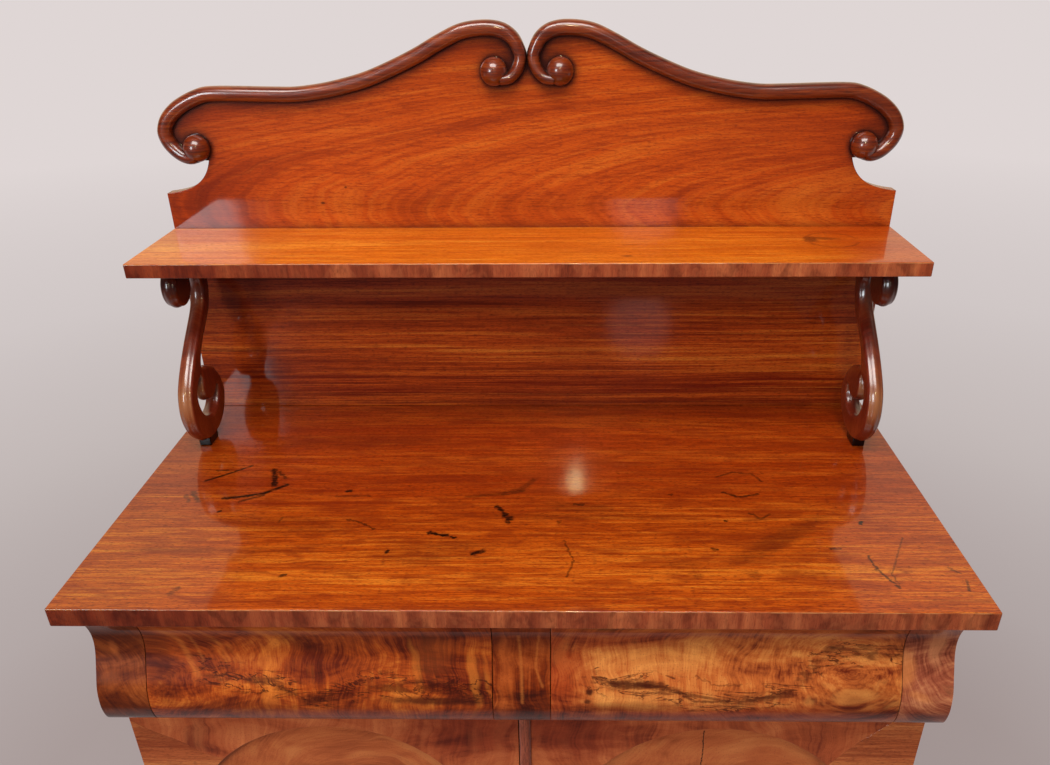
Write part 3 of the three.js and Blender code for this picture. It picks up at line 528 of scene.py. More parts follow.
def flame_tone(graph, across, up, swirl, seed, stretch):
    """Tone of flame veneer: arcs around the swirl's centre, crossed by chatter and clouds."""
    place = graph.vector(graph.plus(across, seed), graph.plus(up, seed * 0.7), seed)
    warp_across = graph.sway(place, (7.0, 14.0, 1.0), 2.5, 0.5)
    warp_up = graph.sway(place, (9.0, 9.0, 1.0), 2.0, 0.5, 0.4)
    from_centre = graph.plus(graph.times(graph.minus(across, swirl[0]), stretch[0]),
                             graph.times(warp_across, 0.055))
    over_centre = graph.plus(graph.times(graph.minus(up, swirl[1]), stretch[1]),
                             graph.times(warp_up, 0.055))
    arc = graph.distance(from_centre, over_centre)
    turn = graph.times(graph.math("DIVIDE", over_centre, graph.plus(arc, 0.01)), 0.8)
    line = graph.vector(arc, turn, seed)
    wide = graph.noise(line, (20.0, 2.4, 1.0), 4.0, 0.58, 0.4)
    narrow = graph.noise(line, (105.0, 5.0, 1.0), 3.0, 0.6, 0.3)
    fine = graph.noise(line, (430.0, 9.0, 1.0), 2.0)
    cloud = graph.noise(place, (6.0, 15.0, 1.0), 5.0, 0.66, 1.3)
    tone = graph.weighed(graph.times(wide, 0.28), (narrow, fine, cloud), (0.12, 0.14, 0.46))
    glow = graph.noise(line, (60.0, 3.0, 1.0), 2.0, 0.5, 0.2)
    glow = graph.step(graph.times(glow, graph.noise(place, (9.0, 12.0, 1.0), 2.0)), 0.30, 0.42)
    return tone, glow, place


def cracks(graph, place, path, width=20.0):
    """Thin ragged dark lines near a path, which is given in millimetres in X and Z."""
    flat = flat_place(graph, "xz")
    near = graph.largest(*(graph.near_line(flat, start, end, width, 1.0, 0.1)
                           for start, end in zip(path, path[1:])))
    vein = graph.noise(place, (16.0, 62.0, 1.0), 5.0, 0.62, 0.9)
    thin = graph.step(graph.math("ABSOLUTE", graph.minus(vein, 0.5)), 0.004, 0.03, 1.0, 0.0)
    broad = graph.step(graph.times(near, graph.noise(place, (22.0, 95.0, 1.0), 4.0, 0.65, 0.6)),
                       0.42, 0.60)
    return graph.largest(graph.times(thin, graph.step(near, 0.15, 0.7)), graph.times(broad, 0.75))


def flame_wood(name, palette, swirl, seed, spine=None, stretch=(1.0, 1.0), contrast=0.15,
               bright=0.4, steps=()):
    """Flame veneer on a front, with arcs, light streaks and, where given, a ragged dark spine."""
    graph = new_graph(name)
    across, up = graph.axis["x"], graph.axis["z"]
    tone, glow, place = flame_tone(graph, across, up, swirl, seed, stretch)
    dark, middle, light, pore_colour = (tint(code) for code in palette)
    colour = graph.ramp(tone, ((0.5 - contrast, pore_colour), (0.5 - contrast * 0.5, dark),
                               (0.5, middle), (0.5 + contrast * 0.8, light)))
    colour = graph.mix(graph.times(glow, bright), colour, light)
    pore = graph.noise(flat_place(graph, "xz"), (620.0, 460.0, 1.0), 2.0)
    pores = graph.step(pore, 0.56, 0.70)
    colour = graph.mix(graph.times(pores, 0.3), colour, pore_colour)
    if spine:
        colour = graph.mix(graph.times(cracks(graph, place, spine), 0.85), colour, pore_colour)
    for step in steps:
        colour = step(graph, colour)
    normal = graph.bump(graph.times(pores, -1.0), VENEER_PORE_DEPTH, 0.5)
    rough = graph.plus(graph.times(pores, 0.15), 0.33)
    graph.finish(graph.surface(colour, rough, normal, **POLISH))


def dusty_wood(name, axes, palette, seed):
    """Unpolished pine of the inside and the back, with knots and dust."""
    graph = new_graph(name)
    tone, (_, pores, _), place = plain_grain(graph, axes, seed, None, 0.03)
    dark, middle, light, knot_colour = (tint(code) for code in palette)
    colour = graph.ramp(tone, ((0.32, dark), (0.5, middle), (0.68, light)))
    cells = graph.add("ShaderNodeTexVoronoi", {"Vector": graph.scaled(place, (4.0, 9.0, 1.0)),
                                               "Scale": 1.0, "Randomness": 1.0})
    knot = graph.step(cells.outputs[0], 0.03, 0.11, 0.8, 0.0)
    colour = graph.mix(knot, colour, knot_colour)
    dust = graph.noise(place, (6.0, 6.0, 6.0), 4.0, 0.6)
    colour = graph.mix(graph.step(dust, 0.45, 0.8, 0.0, 0.35), colour, dark)
    colour = graph.mix(graph.times(pores, 0.25), colour, knot_colour)
    # Painted shade in corners and grooves.
    shade = graph.step(graph.recess(0.02), 0.2, 0.9, 0.5, 0.0)
    colour = graph.mix(shade, colour, knot_colour)
    normal = graph.bump(tone, PINE_RELIEF, 0.4)
    graph.finish(graph.surface(colour, 0.72, normal))


def metal(name, colour, worn, roughness):
    """Aged metal: a warm body colour, darker where the worn noise is high."""
    graph = new_graph(name)
    spots = graph.noise(graph.place, (420.0, 420.0, 420.0), 4.0, 0.6)
    base = graph.mix(graph.step(spots, 0.42, 0.7), tint(colour), tint(worn))
    shade = graph.step(graph.recess(0.003), 0.2, 0.9, 0.6, 0.0)
    base = graph.paint(base, shade, "#1a120a")
    rough = graph.step(spots, 0.35, 0.75, roughness, roughness + 0.2)
    normal = graph.bump(spots, METAL_RELIEF, 0.4)
    graph.finish(graph.surface(base, rough, normal, Metallic=1.0))


def floor_paint():
    """Matt pale floor, self-lit where it is seen, which the polish mirrors as dim in front."""
    graph = new_graph("floor_paint")
    matt = graph.surface(tint(FLOOR_COLOUR), 0.8, Specular_IOR_Level=0.1)
    rays = graph.add("ShaderNodeLightPath").outputs
    mirrored = graph.largest(rays["Is Glossy Ray"], rays["Is Transmission Ray"])
    front = graph.times(mirrored, graph.step(graph.axis["y"], *FLOOR_FRONT, 1.0, 0.0))
    far = graph.distance(graph.axis["x"], graph.axis["y"])
    reach = FLOOR_SHADES[-1][0]
    glow = graph.ramp(graph.times(far, 1 / reach),
                      [(place / reach, tint(code)) for place, code in FLOOR_SHADES])
    glow = graph.mix(front, glow, tint(DIM_FLOOR))
    light = graph.add("ShaderNodeEmission", {0: glow, 1: 1.0}).outputs[0]
    share = graph.largest(graph.step(far, *FLOOR_FADE, 0.7, 1.0), front)
    seen = graph.largest(rays["Is Camera Ray"], mirrored)
    graph.finish(graph.blend(graph.times(seen, share), matt, light))


# Marks on the worktop: lines as points in millimetres, with half width and strength
TOP_MARKS = (
    (((-430, 10), (-403, 31), (-380, 51)), 2.6, 0.94),
    (((-424, 38), (-409, 38)), 2.6, 0.74),
    (((-346, 40), (-334, -2)), 4.7, 1.00),
    (((-338, 34), (-324, 18)), 3.5, 0.74),
    (((-391, -34), (-366, -29), (-343, -22), (-318, 0)), 3.8, 1.00),
    (((-368, -42), (-342, -26)), 2.9, 0.81),
    (((-443, -27), (-434, -42)), 3.2, 0.54),
    (((-437, -19), (-421, -42)), 3.8, 0.68),
    (((-387, -66), (-385, -64)), 2.6, 1.00),
    (((-234, -16), (-230, -15)), 3.8, 1.00),
    (((-246, -28), (-201, -27)), 2.2, 0.47),
    (((-36, -52), (-21, -78), (-21, -89)), 4.1, 1.00),
    (((-24, -76), (-18, -80)), 5.6, 1.00),
    (((-115, -112), (-93, -118)), 3.8, 1.00),
    (((-88, -121), (-83, -122)), 2.6, 1.00),
    (((-57, -155), (-47, -150)), 4.4, 1.00),
    (((-220, -83), (-201, -90), (-184, -104)), 2.0, 0.68),
    (((-76, -29), (-32, -21), (-7, -9), (9, 15)), 4.7, 0.47),
    (((-30, -22), (-8, -14)), 5.3, 0.68),
    (((-160, -154), (-158, -149)), 2.6, 0.94),
    (((-304, -90), (-303, -80)), 2.3, 0.54),
    (((-385, -233), (-379, -222)), 4.1, 0.47),
    (((-271, -199), (-267, -198)), 2.9, 0.81),
    (((252, 23), (275, 35), (300, 31), (310, 11)), 2.2, 0.61),
    (((254, -17), (273, -29), (298, -21)), 2.5, 0.81),
    (((280, -66), (291, -80), (304, -69)), 2.2, 0.61),
    (((48, -128), (59, -169), (51, -199)), 1.7, 0.61),
    (((399, -158), (402, -185), (416, -217)), 2.3, 0.81),
    (((451, -120), (416, -191), (417, -214)), 1.4, 0.54),
    (((483, -179), (492, -191)), 1.7, 0.54),
    (((494, -203), (490, -222)), 2.0, 0.74),
    (((411, -90), (411, -87)), 3.2, 1.00),
    (((246, -84), (249, -84)), 2.3, 0.94),
    (((221, -144), (227, -146)), 2.9, 0.81),
    (((360, -143), (370, -143)), 2.9, 0.81),
    (((62, -46), (72, -47)), 2.9, 0.81),
    (((42, -89), (42, -86)), 2.9, 0.81),
    (((184, -23), (187, -23)), 2.3, 0.81),
)
TOP_STAINS = (
    ((305, -125), 105, 18, 38, 0.38),
    ((-110, -150), 90, 30, 8, 0.25),
    ((-300, -95), 120, 26, -4, 0.22),
    ((70, -55), 60, 14, -6, 0.38),
    ((-250, 120), 160, 26, 2, 0.25),
    ((185, -175), 34, 12, 0, 0.25),
    ((262, -195), 10, 9, 0, 0.35),
    ((198, -198), 8, 6, 0, 0.35),
    ((60, -75), 170, 9, -1, 0.28),
    ((-360, -150), 150, 9, 0, 0.25),
)
SHELF_STAINS = (
    ((376, 174), 13, 17, 0, 0.8),
    ((393, 177), 26, 9, -6, 0.6),
    ((128, 99), 9, 3, 0, 0.95),
    ((138, 150), 14, 3, 0, 0.35),
)
SHELF_RING = [(402 + 35 * math.cos(math.radians(turn)), 170 + 35 * math.sin(math.radians(turn)))
              for turn in range(10, 341, 30)]
SHELF_MARKS = ((SHELF_RING, 2.4, 0.5),)
UPPER_KNOTS = (
    ((-286, 1212), 3.5, 2.2, 0, 0.8),
    ((-252, 1233), 2.6, 2.0, 0, 0.7),
)
LEFT_SPINE = ((-366, 804), (-321, 793), (-300, 789), (-276, 786), (-247, 769), (-196, 775),
              (-180, 786), (-128, 786), (-40, 779))
LEFT_FRONT_PATCHES = (
    ((-100, 822), 28, 32, 0, 0.3),
)
LEFT_FRONT_STREAKS = (
    (((-411, 855), (-388, 837), (-375, 808), (-368, 796)), 4.5, 0.4),
    (((-396, 857), (-374, 840), (-362, 812)), 2.5, 0.3),
    (((-372, 858), (-347, 837), (-333, 813)), 3.0, 0.3),
)
LEFT_FRONT_LINES = ((LEFT_SPINE[:5], 1.3, 0.6),)
CENTRE_STREAKS = (
    (((-3, 844), (0, 805), (1, 766)), 2.6, 0.38),
    (((20, 844), (16, 805), (24, 786)), 2.0, 0.3),
)
BLOCK_RIGHT_PATCHES = (
    ((430, 806), 15, 26, 0, 0.42),
    ((450, 776), 18, 7, -25, 0.3),
)
BLOCK_LEFT_PATCHES = (
    ((-464, 826), 6, 11, 20, 0.35),
    ((-470, 790), 14, 16, 0, 0.2),
)
DOOR_PATCHES = (
    ((-62, 690), 100, 60, 0, 0.9),
    ((62, 690), 100, 60, 0, 0.9),
)
LEFT_FRONT_STAINS = (
    ((-95, 768), 75, 7, 0, 0.8),
    ((-415, 810), 26, 60, 20, 0.45),
    ((-250, 835), 40, 12, -25, 0.35),
    ((-330, 755), 80, 16, 0, 0.35),
)
RIGHT_SPINE = ((82, 796), (114, 786), (148, 787), (176, 782), (197, 769), (250, 769), (303, 781),
               (346, 826), (392, 822), (428, 824))
RIGHT_FRONT_PATCHES = (
    ((30, 800), 56, 90, 0, 1.0),
    ((110, 845), 110, 22, 6, 0.9),
    ((240, 744), 250, 22, 0, 1.0),
    ((330, 858), 150, 12, 0, 0.7),
)
RIGHT_FRONT_LINES = (
    (RIGHT_SPINE[:7], 2.6, 0.75),
    (((130, 790), (160, 789)), 3.6, 0.7),
    (((196, 797), (222, 788), (248, 789)), 1.2, 0.5),
)
RIGHT_FRONT_STAINS = (
    ((135, 788), 46, 3, -4, 0.75),
    ((200, 776), 50, 2.5, -10, 0.6),
    ((77, 780), 5, 5, 0, 0.9),
    ((75, 768), 5, 4, 0, 0.8),
    ((345, 827), 10, 6, 20, 0.5),
    ((392, 770), 60, 30, 0, 0.3),
    ((120, 760), 70, 9, 0, 0.4),
)
FRIEZE_SHADE = (fade("z", 815, 872, "#ccb8b4", 1.0), fade("z", 770, 740, "#c8aea8", 1.0))
DOOR_SHADE = (grime_and_shade(0.03, 0.7, "#2a0a05", 0.98),)
PANEL_CRACKS = ((((219.7, 678.4), (221, 640), (219, 560)), 0.9, 0.95),)

# Dark, middle and light colours of each wood, and its pores'
TOP_PALETTE = ("#862b04", "#b84e0b", "#dc8226", "#4a1402")
SHELF_PALETTE = ("#b44e06", "#e2740e", "#f09a30", "#7b2d06")
UPPER_PALETTE = ("#842a06", "#b4480c", "#cc6a1e", "#5d1704")
LOWER_PALETTE = ("#6e1a05", "#b84a12", "#dc802c", "#400b02")
SIDE_PALETTE = ("#5a1f0a", "#7c3410", "#9c4f20", "#330e05")
BAND_PALETTE = ("#602010", "#984628", "#c87244", "#34100a")
DRAWER_LEFT_PALETTE = ("#641e07", "#9c4010", "#d87a2c", "#310b03")
DRAWER_RIGHT_PALETTE = ("#6e260e", "#b25a26", "#de9048", "#3d1007")
BLOCK_LEFT_PALETTE = ("#421206", "#682809", "#a05020", "#240603")
BLOCK_RIGHT_PALETTE = ("#5a2014", "#924a32", "#d0885c", "#36100a")
CENTRE_PALETTE = ("#461305", "#722806", "#b05420", "#260803")
DOOR_PALETTE = ("#762c14", "#a64c26", "#c87040", "#42150a")
STILE_PALETTE = ("#863818", "#b0582c", "#cc7a44", "#4c180a")
CARVED_PALETTE = ("#3c0d04", "#70260a", "#984518", "#140301")
SUPPORT_PALETTE = ("#480f06", "#6c200e", "#8a3e20", "#240603")
BEAD_PALETTE = ("#6c2c1c", "#964a34", "#b46e50", "#34100a")
FOOT_PALETTE = ("#080202", "#0e0403", "#140604", "#040101")
PINE_PALETTE = ("#96603a", "#bb8457", "#d29d70", "#5d3018")
EDGE_LEVELS = (900, 1177.5)


def frieze_wood(name, palette, swirl, seed, *marks, **settings):
    """Flame veneer of the frieze, with its own marks and darker above and below."""
    flame_wood(name, palette, swirl, seed, steps=(*marks, *FRIEZE_SHADE), **settings)


def door_wood(name, palette, swirl, seed, contrast, *marks):
    """Flame veneer of a door, with its own marks and dark corners."""
    flame_wood(name, palette, swirl, seed, contrast=contrast, steps=(*marks, *DOOR_SHADE))


def make_board_woods():
    """Woods with straight grain, where people see them."""
    wood("worktop_wood", "xyz", TOP_PALETTE, 1.0, bend=0.015, contrast=0.155, pore_depth=0.6,
         dash_depth=0.75, thread_depth=0.4, streak=0.55, weights=(0.26, 0.30, 0.30),
         steps=(fade("y", -170, 10, "#e2c2bc", 1.0), fade("x", -280, -480, "#f0ffff", 1.0),
                clouds("xy", (13.0, 52.0), 0.55, "#762205"), stains(TOP_STAINS, plane="xy"),
                lines(TOP_MARKS, plane="xy")))
    wood("shelf_wood", "xyz", SHELF_PALETTE, 2.0, bend=0.010, contrast=0.11, pore_depth=0.45,
         dash_depth=0.75, streak=0.5, weights=(0.36, 0.30, 0.3),
         steps=(clouds("xy", (13.0, 52.0), 0.3, "#b04e08"), fade("x", 250, 480, "#d8a890", 1.0),
                stains(SHELF_STAINS, plane="xy"), lines(SHELF_MARKS, "#5a1c06", plane="xy")))
    # The upper board gets painted shade with grime around its moulding, above two heights, and in its
    # corners.
    wood("pediment_wood", "xzy", UPPER_PALETTE, 3.0, core=(1.205, 0.120, -0.125), bend=0.02,
         contrast=0.13, pore_depth=0.45, dash_depth=0.6, streak=0.5, weights=(0.34, 0.2, 0.2),
         steps=(fade("x", -260, -500, "#d0b0a8", 0.8), fade("x", 280, 500, "#f0dcd8", 0.8),
                stains(UPPER_KNOTS), grime_and_shade(0.06, 0.95, "#2a0806", 0.97, 0.58, (1190, 1230)),
                grime_and_shade(0.02, 0.7, "#2a0806", 0.9)))
    # The lower board is painted darker towards its top as the shade under the shelf, and gets painted
    # shade with grime in its corners.
    wood("gallery_wood", "xzy", LOWER_PALETTE, 4.0, bend=0.012, pore_depth=0.5, dash_depth=0.55,
         thread_depth=0.4, streak=0.3, weights=(0.55, 0.35, 0.2),
         steps=(fade("z", 1000, 1075, "#b49ca8", 1.0), grime_and_shade(0.05, 0.4)))
    # The edge band's pale lines under its top edges are worn polish with a painted highlight.
    wood("edge_band_wood", "zxy", BAND_PALETTE, 7.0, bend=0.03, contrast=0.15, dash_depth=0.15,
         pore_depth=0.3, thread_depth=0.1, weights=(0.6, 0.12, 0.08),
         steps=(clouds("xz", (42.0, 26.0), 0.5, "#4a1408"),
                clouds("xz", (70.0, 38.0), 0.3, "#a85c38"), cross_lines("xz", 0.2, "#5a2010"),
                fade("x", -160, -420, "#c4a094", 1.0), wear_and_sheen_edges(EDGE_LEVELS)))


def make_carved_woods():
    """Darker woods of the scrolls, the supports and the door's bead."""
    # The mouldings get painted shade with grime in their corners and on their inner sides.
    wood("moulding_wood", "xzy", CARVED_PALETTE, 8.0, contrast=0.16, pore_depth=0.25, roughness=0.3,
         steps=(grime_and_shade(0.012, 0.9, "#120302", 0.98),), polish=MOULDING_POLISH)
    # The supports get a painted highlight on their fronts, painted shade towards the top under the
    # shelf, and painted shade with grime in their corners.
    wood("support_wood", "zyx", SUPPORT_PALETTE, 8.5, contrast=0.2, pore_depth=0.2, dash_depth=0.2,
         thread_depth=0.1, roughness=0.32,
         steps=(painted_front_highlight(930, 1120, 0.55, "#b27a4c"), fade("z", 1080, 1150, "#705860", 1.0),
                grime_and_shade(0.014, 0.9, "#120302", 0.9)), polish=CARVED_POLISH)
    wood("bead_wood", "zxy", BEAD_PALETTE, 8.2, contrast=0.16, polish=MOULDING_POLISH)
    wood("support_foot_wood", "xyz", FOOT_PALETTE, 9.0, polish=DULL_POLISH)


def make_veneers():
    """Flame veneers of the frieze and the doors."""
    frieze_wood("drawer_left_veneer", DRAWER_LEFT_PALETTE, (-0.43, 0.770), 0.3,
                stains(LEFT_FRONT_PATCHES, "#96481c"),
                lines(LEFT_FRONT_STREAKS, "#c06a2a", 2.0, 0.0),
                lines(LEFT_FRONT_LINES, "#3a1206"), stains(LEFT_FRONT_STAINS), spine=LEFT_SPINE)
    frieze_wood("drawer_right_veneer", DRAWER_RIGHT_PALETTE, (0.371, 0.800), 1.9,
                stains(RIGHT_FRONT_PATCHES, "#d9aea5", "MULTIPLY"),
                lines(RIGHT_FRONT_LINES, "#4a1a08"), stains(RIGHT_FRONT_STAINS), spine=RIGHT_SPINE)
    frieze_wood("block_left_veneer", BLOCK_LEFT_PALETTE, (-0.62, 0.70), 3.1,
                stains(BLOCK_LEFT_PATCHES, "#b8602c"))
    frieze_wood("block_right_veneer", BLOCK_RIGHT_PALETTE, (0.60, 0.88), 4.2,
                stains(BLOCK_RIGHT_PATCHES, "#d88444"), bright=0.6)
    frieze_wood("centre_veneer", CENTRE_PALETTE, (0.35, 0.80), 5.4,
                lines(CENTRE_STREAKS, "#c87030", 2.0, 0.0), stretch=(1.0, 0.6), bright=0.6)
    patches = stains(DOOR_PATCHES, "#c49c94", "MULTIPLY")
    door_wood("door_left_veneer", DOOR_PALETTE, (-1.2, 0.75), 6.6, 0.2, patches)
    door_wood("door_right_veneer", DOOR_PALETTE, (1.2, 0.75), 7.7, 0.2, patches)
    door_wood("panel_left_veneer", STILE_PALETTE, (-0.20, 0.56), 8.8, 0.23)
    door_wood("panel_right_veneer", STILE_PALETTE, (0.30, 0.56), 9.9, 0.23,
              lines(PANEL_CRACKS, wobble=3.0))
    wood("door_stile_veneer", "xzy", STILE_PALETTE, 11.5, contrast=0.14, weights=(0.5, 0.25, 0.25),
         steps=DOOR_SHADE)


def make_plain_materials():
    """Sides and frames, pine inside, and metal. Each wood has its grain's axes and its seed."""
    for name, axes, seed in (("side_wood", "zyx", 5.0), ("plinth_wood", "xzy", 6.0),
                             ("plinth_end_wood", "yzx", 6.5), ("frieze_end_wood", "zyx", 10.0),
                             ("door_stile_wood", "zxy", 11.0), ("door_rail_wood", "xzy", 12.0)):
        wood(name, axes, SIDE_PALETTE, seed)
    dusty_wood("pine_across", "xyz", PINE_PALETTE, 13.0)
    dusty_wood("pine_deep", "yxz", PINE_PALETTE, 14.0)
    dusty_wood("pine_upright", "zxy", PINE_PALETTE, 15.0)
    metal("aged_brass", "#a8823c", "#6a4a1c", 0.3)
    metal("dull_steel", "#77726a", "#4a443c", 0.35)


def ride(piece, body, slot, *nodes):
    """The piece moves with the body and stands for the nodes. The slot is not used."""
    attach(piece, body)
    if nodes:
        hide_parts(*nodes)
    return piece


def add_object(name, data):
    """A new object in the scene."""
    made = bpy.data.objects.new(name, data)
    bpy.context.scene.collection.objects.link(made)
    return made


def smooth(mesh, crease):
    """Rounded shading, with sharp edges where faces meet at more than crease degrees."""
    mesh.shade_smooth()
    mesh.set_sharp_from_angle(angle=math.radians(crease))


def give_materials(mesh, *finishes):
    """The finishes are names of materials."""
    mesh.materials.clear()
    for finish in finishes:
        mesh.materials.append(bpy.data.materials[finish])


def new_piece(name, mesh, finishes, crease):
    mesh.name = name
    give_materials(mesh, *finishes)
    smooth(mesh, crease)
    return add_object(name, mesh)


def weighted(piece):
    """Large faces stay flat beside their rounded edges."""
    modifier = piece.modifiers.new("flat_faces", "WEIGHTED_NORMAL")
    modifier.keep_sharp = True
    return piece


def mesh_from(bm, join_points=False):
    """A mesh with its faces turned outwards, and points that lie together made one."""
    if join_points:
        bmesh.ops.remove_doubles(bm, verts=bm.verts[:], dist=SAME_POINT)
    bmesh.ops.recalc_face_normals(bm, faces=bm.faces[:])
    mesh = bpy.data.meshes.new("mesh")
    bm.to_mesh(mesh)
    bm.free()
    return mesh


def evaluated_mesh(made):
    """The mesh that a new object's modifiers or its curve give. The object is removed."""
    bpy.context.view_layer.update()
    seen = made.evaluated_get(bpy.context.evaluated_depsgraph_get())
    mesh = bpy.data.meshes.new_from_object(seen)
    bpy.data.objects.remove(made)
    return mesh


def round_edges(bm, edges, width):
    bmesh.ops.bevel(bm, geom=edges, offset=width, segments=2, profile=0.5, affect="EDGES",
                    clamp_overlap=True)


def box_shape(low, high):
    bm = bmesh.new()
    size = Vector(high) - Vector(low)
    middle = (Vector(high) + Vector(low)) / 2
    place = Matrix.Translation(middle) @ Matrix.Diagonal((*size, 1))
    bmesh.ops.create_cube(bm, size=1.0, matrix=place)
    return bm


def cut_openings(piece, openings):
    """Takes the openings' meshes out of a piece and removes them."""
    whole = add_object("whole", piece.data)
    for mesh in openings:
        modifier = whole.modifiers.new("opening", "BOOLEAN")
        modifier.operation = "DIFFERENCE"
        modifier.solver = "EXACT"
        modifier.object = add_object("cutter", mesh)
    closed, name = piece.data, piece.data.name
    piece.data = evaluated_mesh(whole)
    smooth(piece.data, OPENING_CREASE)
    for mesh in (closed, *openings):
        bpy.data.meshes.remove(mesh)
    piece.data.name = name


def board(name, low, high, finish, edge=BOARD_EDGE, front=None):
    """A board with rounded edges. front is another finish, for the faces that look along -Y."""
    bm = box_shape(low, high)
    round_edges(bm, bm.edges[:], edge)
    mesh = mesh_from(bm)
    piece = new_piece(name, mesh, [finish] + ([front] if front else []), BOARD_CREASE)
    if front:
        for face in mesh.polygons:
            if face.center.y < low[1] + edge * 0.6:
                face.material_index = 1
    return weighted(piece)


def node_board(node, body, slot, finish, edge=BOARD_EDGE, front=None):
    low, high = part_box(node)
    return ride(board(f"{node}_board", low, high, finish, edge, front), body, slot, node)


def spline(points, steps):
    """Points of a smooth line through the given ones."""
    result = []
    count = len(points) - 1
    for index in range(count):
        p0, p1 = points[max(index - 1, 0)], points[index]
        p2, p3 = points[index + 1], points[min(index + 2, count)]
        for step in range(steps):
            t = step / steps
            result.append(tuple(
                0.5 * (2 * b + (c - a) * t + (2 * a - 5 * b + 4 * c - d) * t * t
                       + (3 * b - a - 3 * c + d) * t ** 3)
                for a, b, c, d in zip(p0, p1, p2, p3)))
    return result + [tuple(points[-1])]


def even(points, gap):
    """The same line with points a gap apart, so that a rounded edge follows it cleanly."""
    result = [points[0]]
    for point in points[1:-1]:
        if math.dist(point, result[-1]) >= gap:
            result.append(point)
    if math.dist(points[-1], result[-1]) < gap / 2 and len(result) > 1:
        result.pop()
    return result + [points[-1]]


def plate_mesh(outlines, plane, low, high, edge, segments):
    """A flat piece with rounded edges: outlines in X and Z or in Y and Z, the first one outside."""
    curve = bpy.data.curves.new("outline", "CURVE")
    curve.dimensions = "2D"
    curve.fill_mode = "BOTH"
    curve.extrude = (high - low) / 2 - edge
    curve.bevel_depth = edge
    curve.bevel_resolution = segments
    curve.offset = -edge
    for outline in outlines:
        line = curve.splines.new("POLY")
        line.points.add(len(outline) - 1)
        for point, (a, b) in zip(line.points, outline):
            point.co = (a, b, 0, 1)
        line.use_cyclic_u = True
    mesh = evaluated_mesh(add_object("outline", curve))
    bpy.data.curves.remove(curve)
    middle = (low + high) / 2
    if plane == "xz":
        turn = Matrix(((1, 0, 0, 0), (0, 0, -1, middle), (0, 1, 0, 0), (0, 0, 0, 1)))
    else:
        turn = Matrix(((0, 0, 1, middle), (1, 0, 0, 0), (0, 1, 0, 0), (0, 0, 0, 1)))
    mesh.transform(turn)
    bm = bmesh.new()
    bm.from_mesh(mesh)
    bpy.data.meshes.remove(mesh)
    return mesh_from(bm, join_points=True)


def plate(name, outlines, plane, low, high, edge, finish, segments):
    mesh = plate_mesh(outlines, plane, low, high, edge, segments)
    return weighted(new_piece(name, mesh, [finish], BOARD_CREASE))


def strip(name, profile, x0, x1, edge, finish):
    """A profile in Y and Z carried along X, with its end edges rounded."""
    bm = bmesh.new()
    rings = [[bm.verts.new((x, y, z)) for y, z in profile] for x in (x0, x1)]
    bm.faces.new(rings[0][::-1])
    bm.faces.new(rings[1])
    count = len(profile)
    for index in range(count):
        after = (index + 1) % count
        bm.faces.new((rings[0][index], rings[0][after], rings[1][after], rings[1][index]))
    ends = [e for e in bm.edges if abs(e.verts[0].co.x - e.verts[1].co.x) < edge]
    round_edges(bm, ends, edge)
    mesh = mesh_from(bm, join_points=True)
    return weighted(new_piece(name, mesh, [finish], OGEE_CREASE))


def round_line(centre, radius, start, end, steps):
    """Points of an arc, with both its ends."""
    return [(centre[0] + radius * math.cos(start + (end - start) * k / steps),
             centre[1] + radius * math.sin(start + (end - start) * k / steps))
            for k in range(steps + 1)]


def close_bar(bm, rings):
    """Faces of a bar with a flat back: from ring to ring, and over both ends."""
    for before, after in zip(rings, rings[1:]):
        for k in range(len(before) - 1):
            bm.faces.new((before[k], before[k + 1], after[k + 1], after[k]))
        bm.faces.new((before[-1], before[0], after[0], after[-1]))
    bm.faces.new(rings[0])
    bm.faces.new(rings[-1][::-1])


def make_case():
    """Plinth, sides, worktop and the boards inside."""
    node_board("worktop", "cabinet", "top_wood", "worktop_wood", WORN_EDGE, "edge_band_wood")
    node_board("plinth_front", "cabinet", "panel_wood", "plinth_wood", WORN_EDGE)
    for _, side in SIDES:
        node_board(f"plinth_{side}", "cabinet", "panel_wood", "plinth_end_wood", WORN_EDGE)
        node_board(f"carcass_side_{side}", "cabinet", "panel_wood", "side_wood")
        node_board(f"frieze_side_{side}", "cabinet", "flame_wood", "frieze_end_wood")
        node_board(f"shelf_bearer_{side}", "cabinet", "inside_wood", "pine_deep")
    for node in ("carcass_bottom", "dust_board", "top_rail", "cupboard_shelf"):
        node_board(node, "cabinet", "inside_wood", "pine_across")
    make_ledger()
    make_back_boards()


def make_ledger():
    """A rail behind the plinth closes the slit in front of the bottom board."""
    _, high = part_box("plinth_front")
    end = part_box("plinth_right")[0].x - GAP
    piece = board("plinth_ledger_board", (-end, high.y + GAP, high.z - LEDGER_HEIGHT),
                  (end, high.y + LEDGER_DEPTH, high.z), "pine_across")
    ride(piece, "cabinet", "inside_wood")


def make_back_boards():
    """The back is made of upright boards side by side."""
    low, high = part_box("back_board")
    width = (high.x - low.x) / BACK_BOARD_COUNT
    for index in range(BACK_BOARD_COUNT):
        left = low.x + index * width
        piece = board(f"back_board_{index + 1}", (left + BACK_BOARD_GAP / 2, low.y, low.z),
                      (left + width - BACK_BOARD_GAP / 2, high.y, high.z), "pine_upright",
                      BACK_BOARD_EDGE)
        ride(piece, "cabinet", "inside_wood", "back_board")


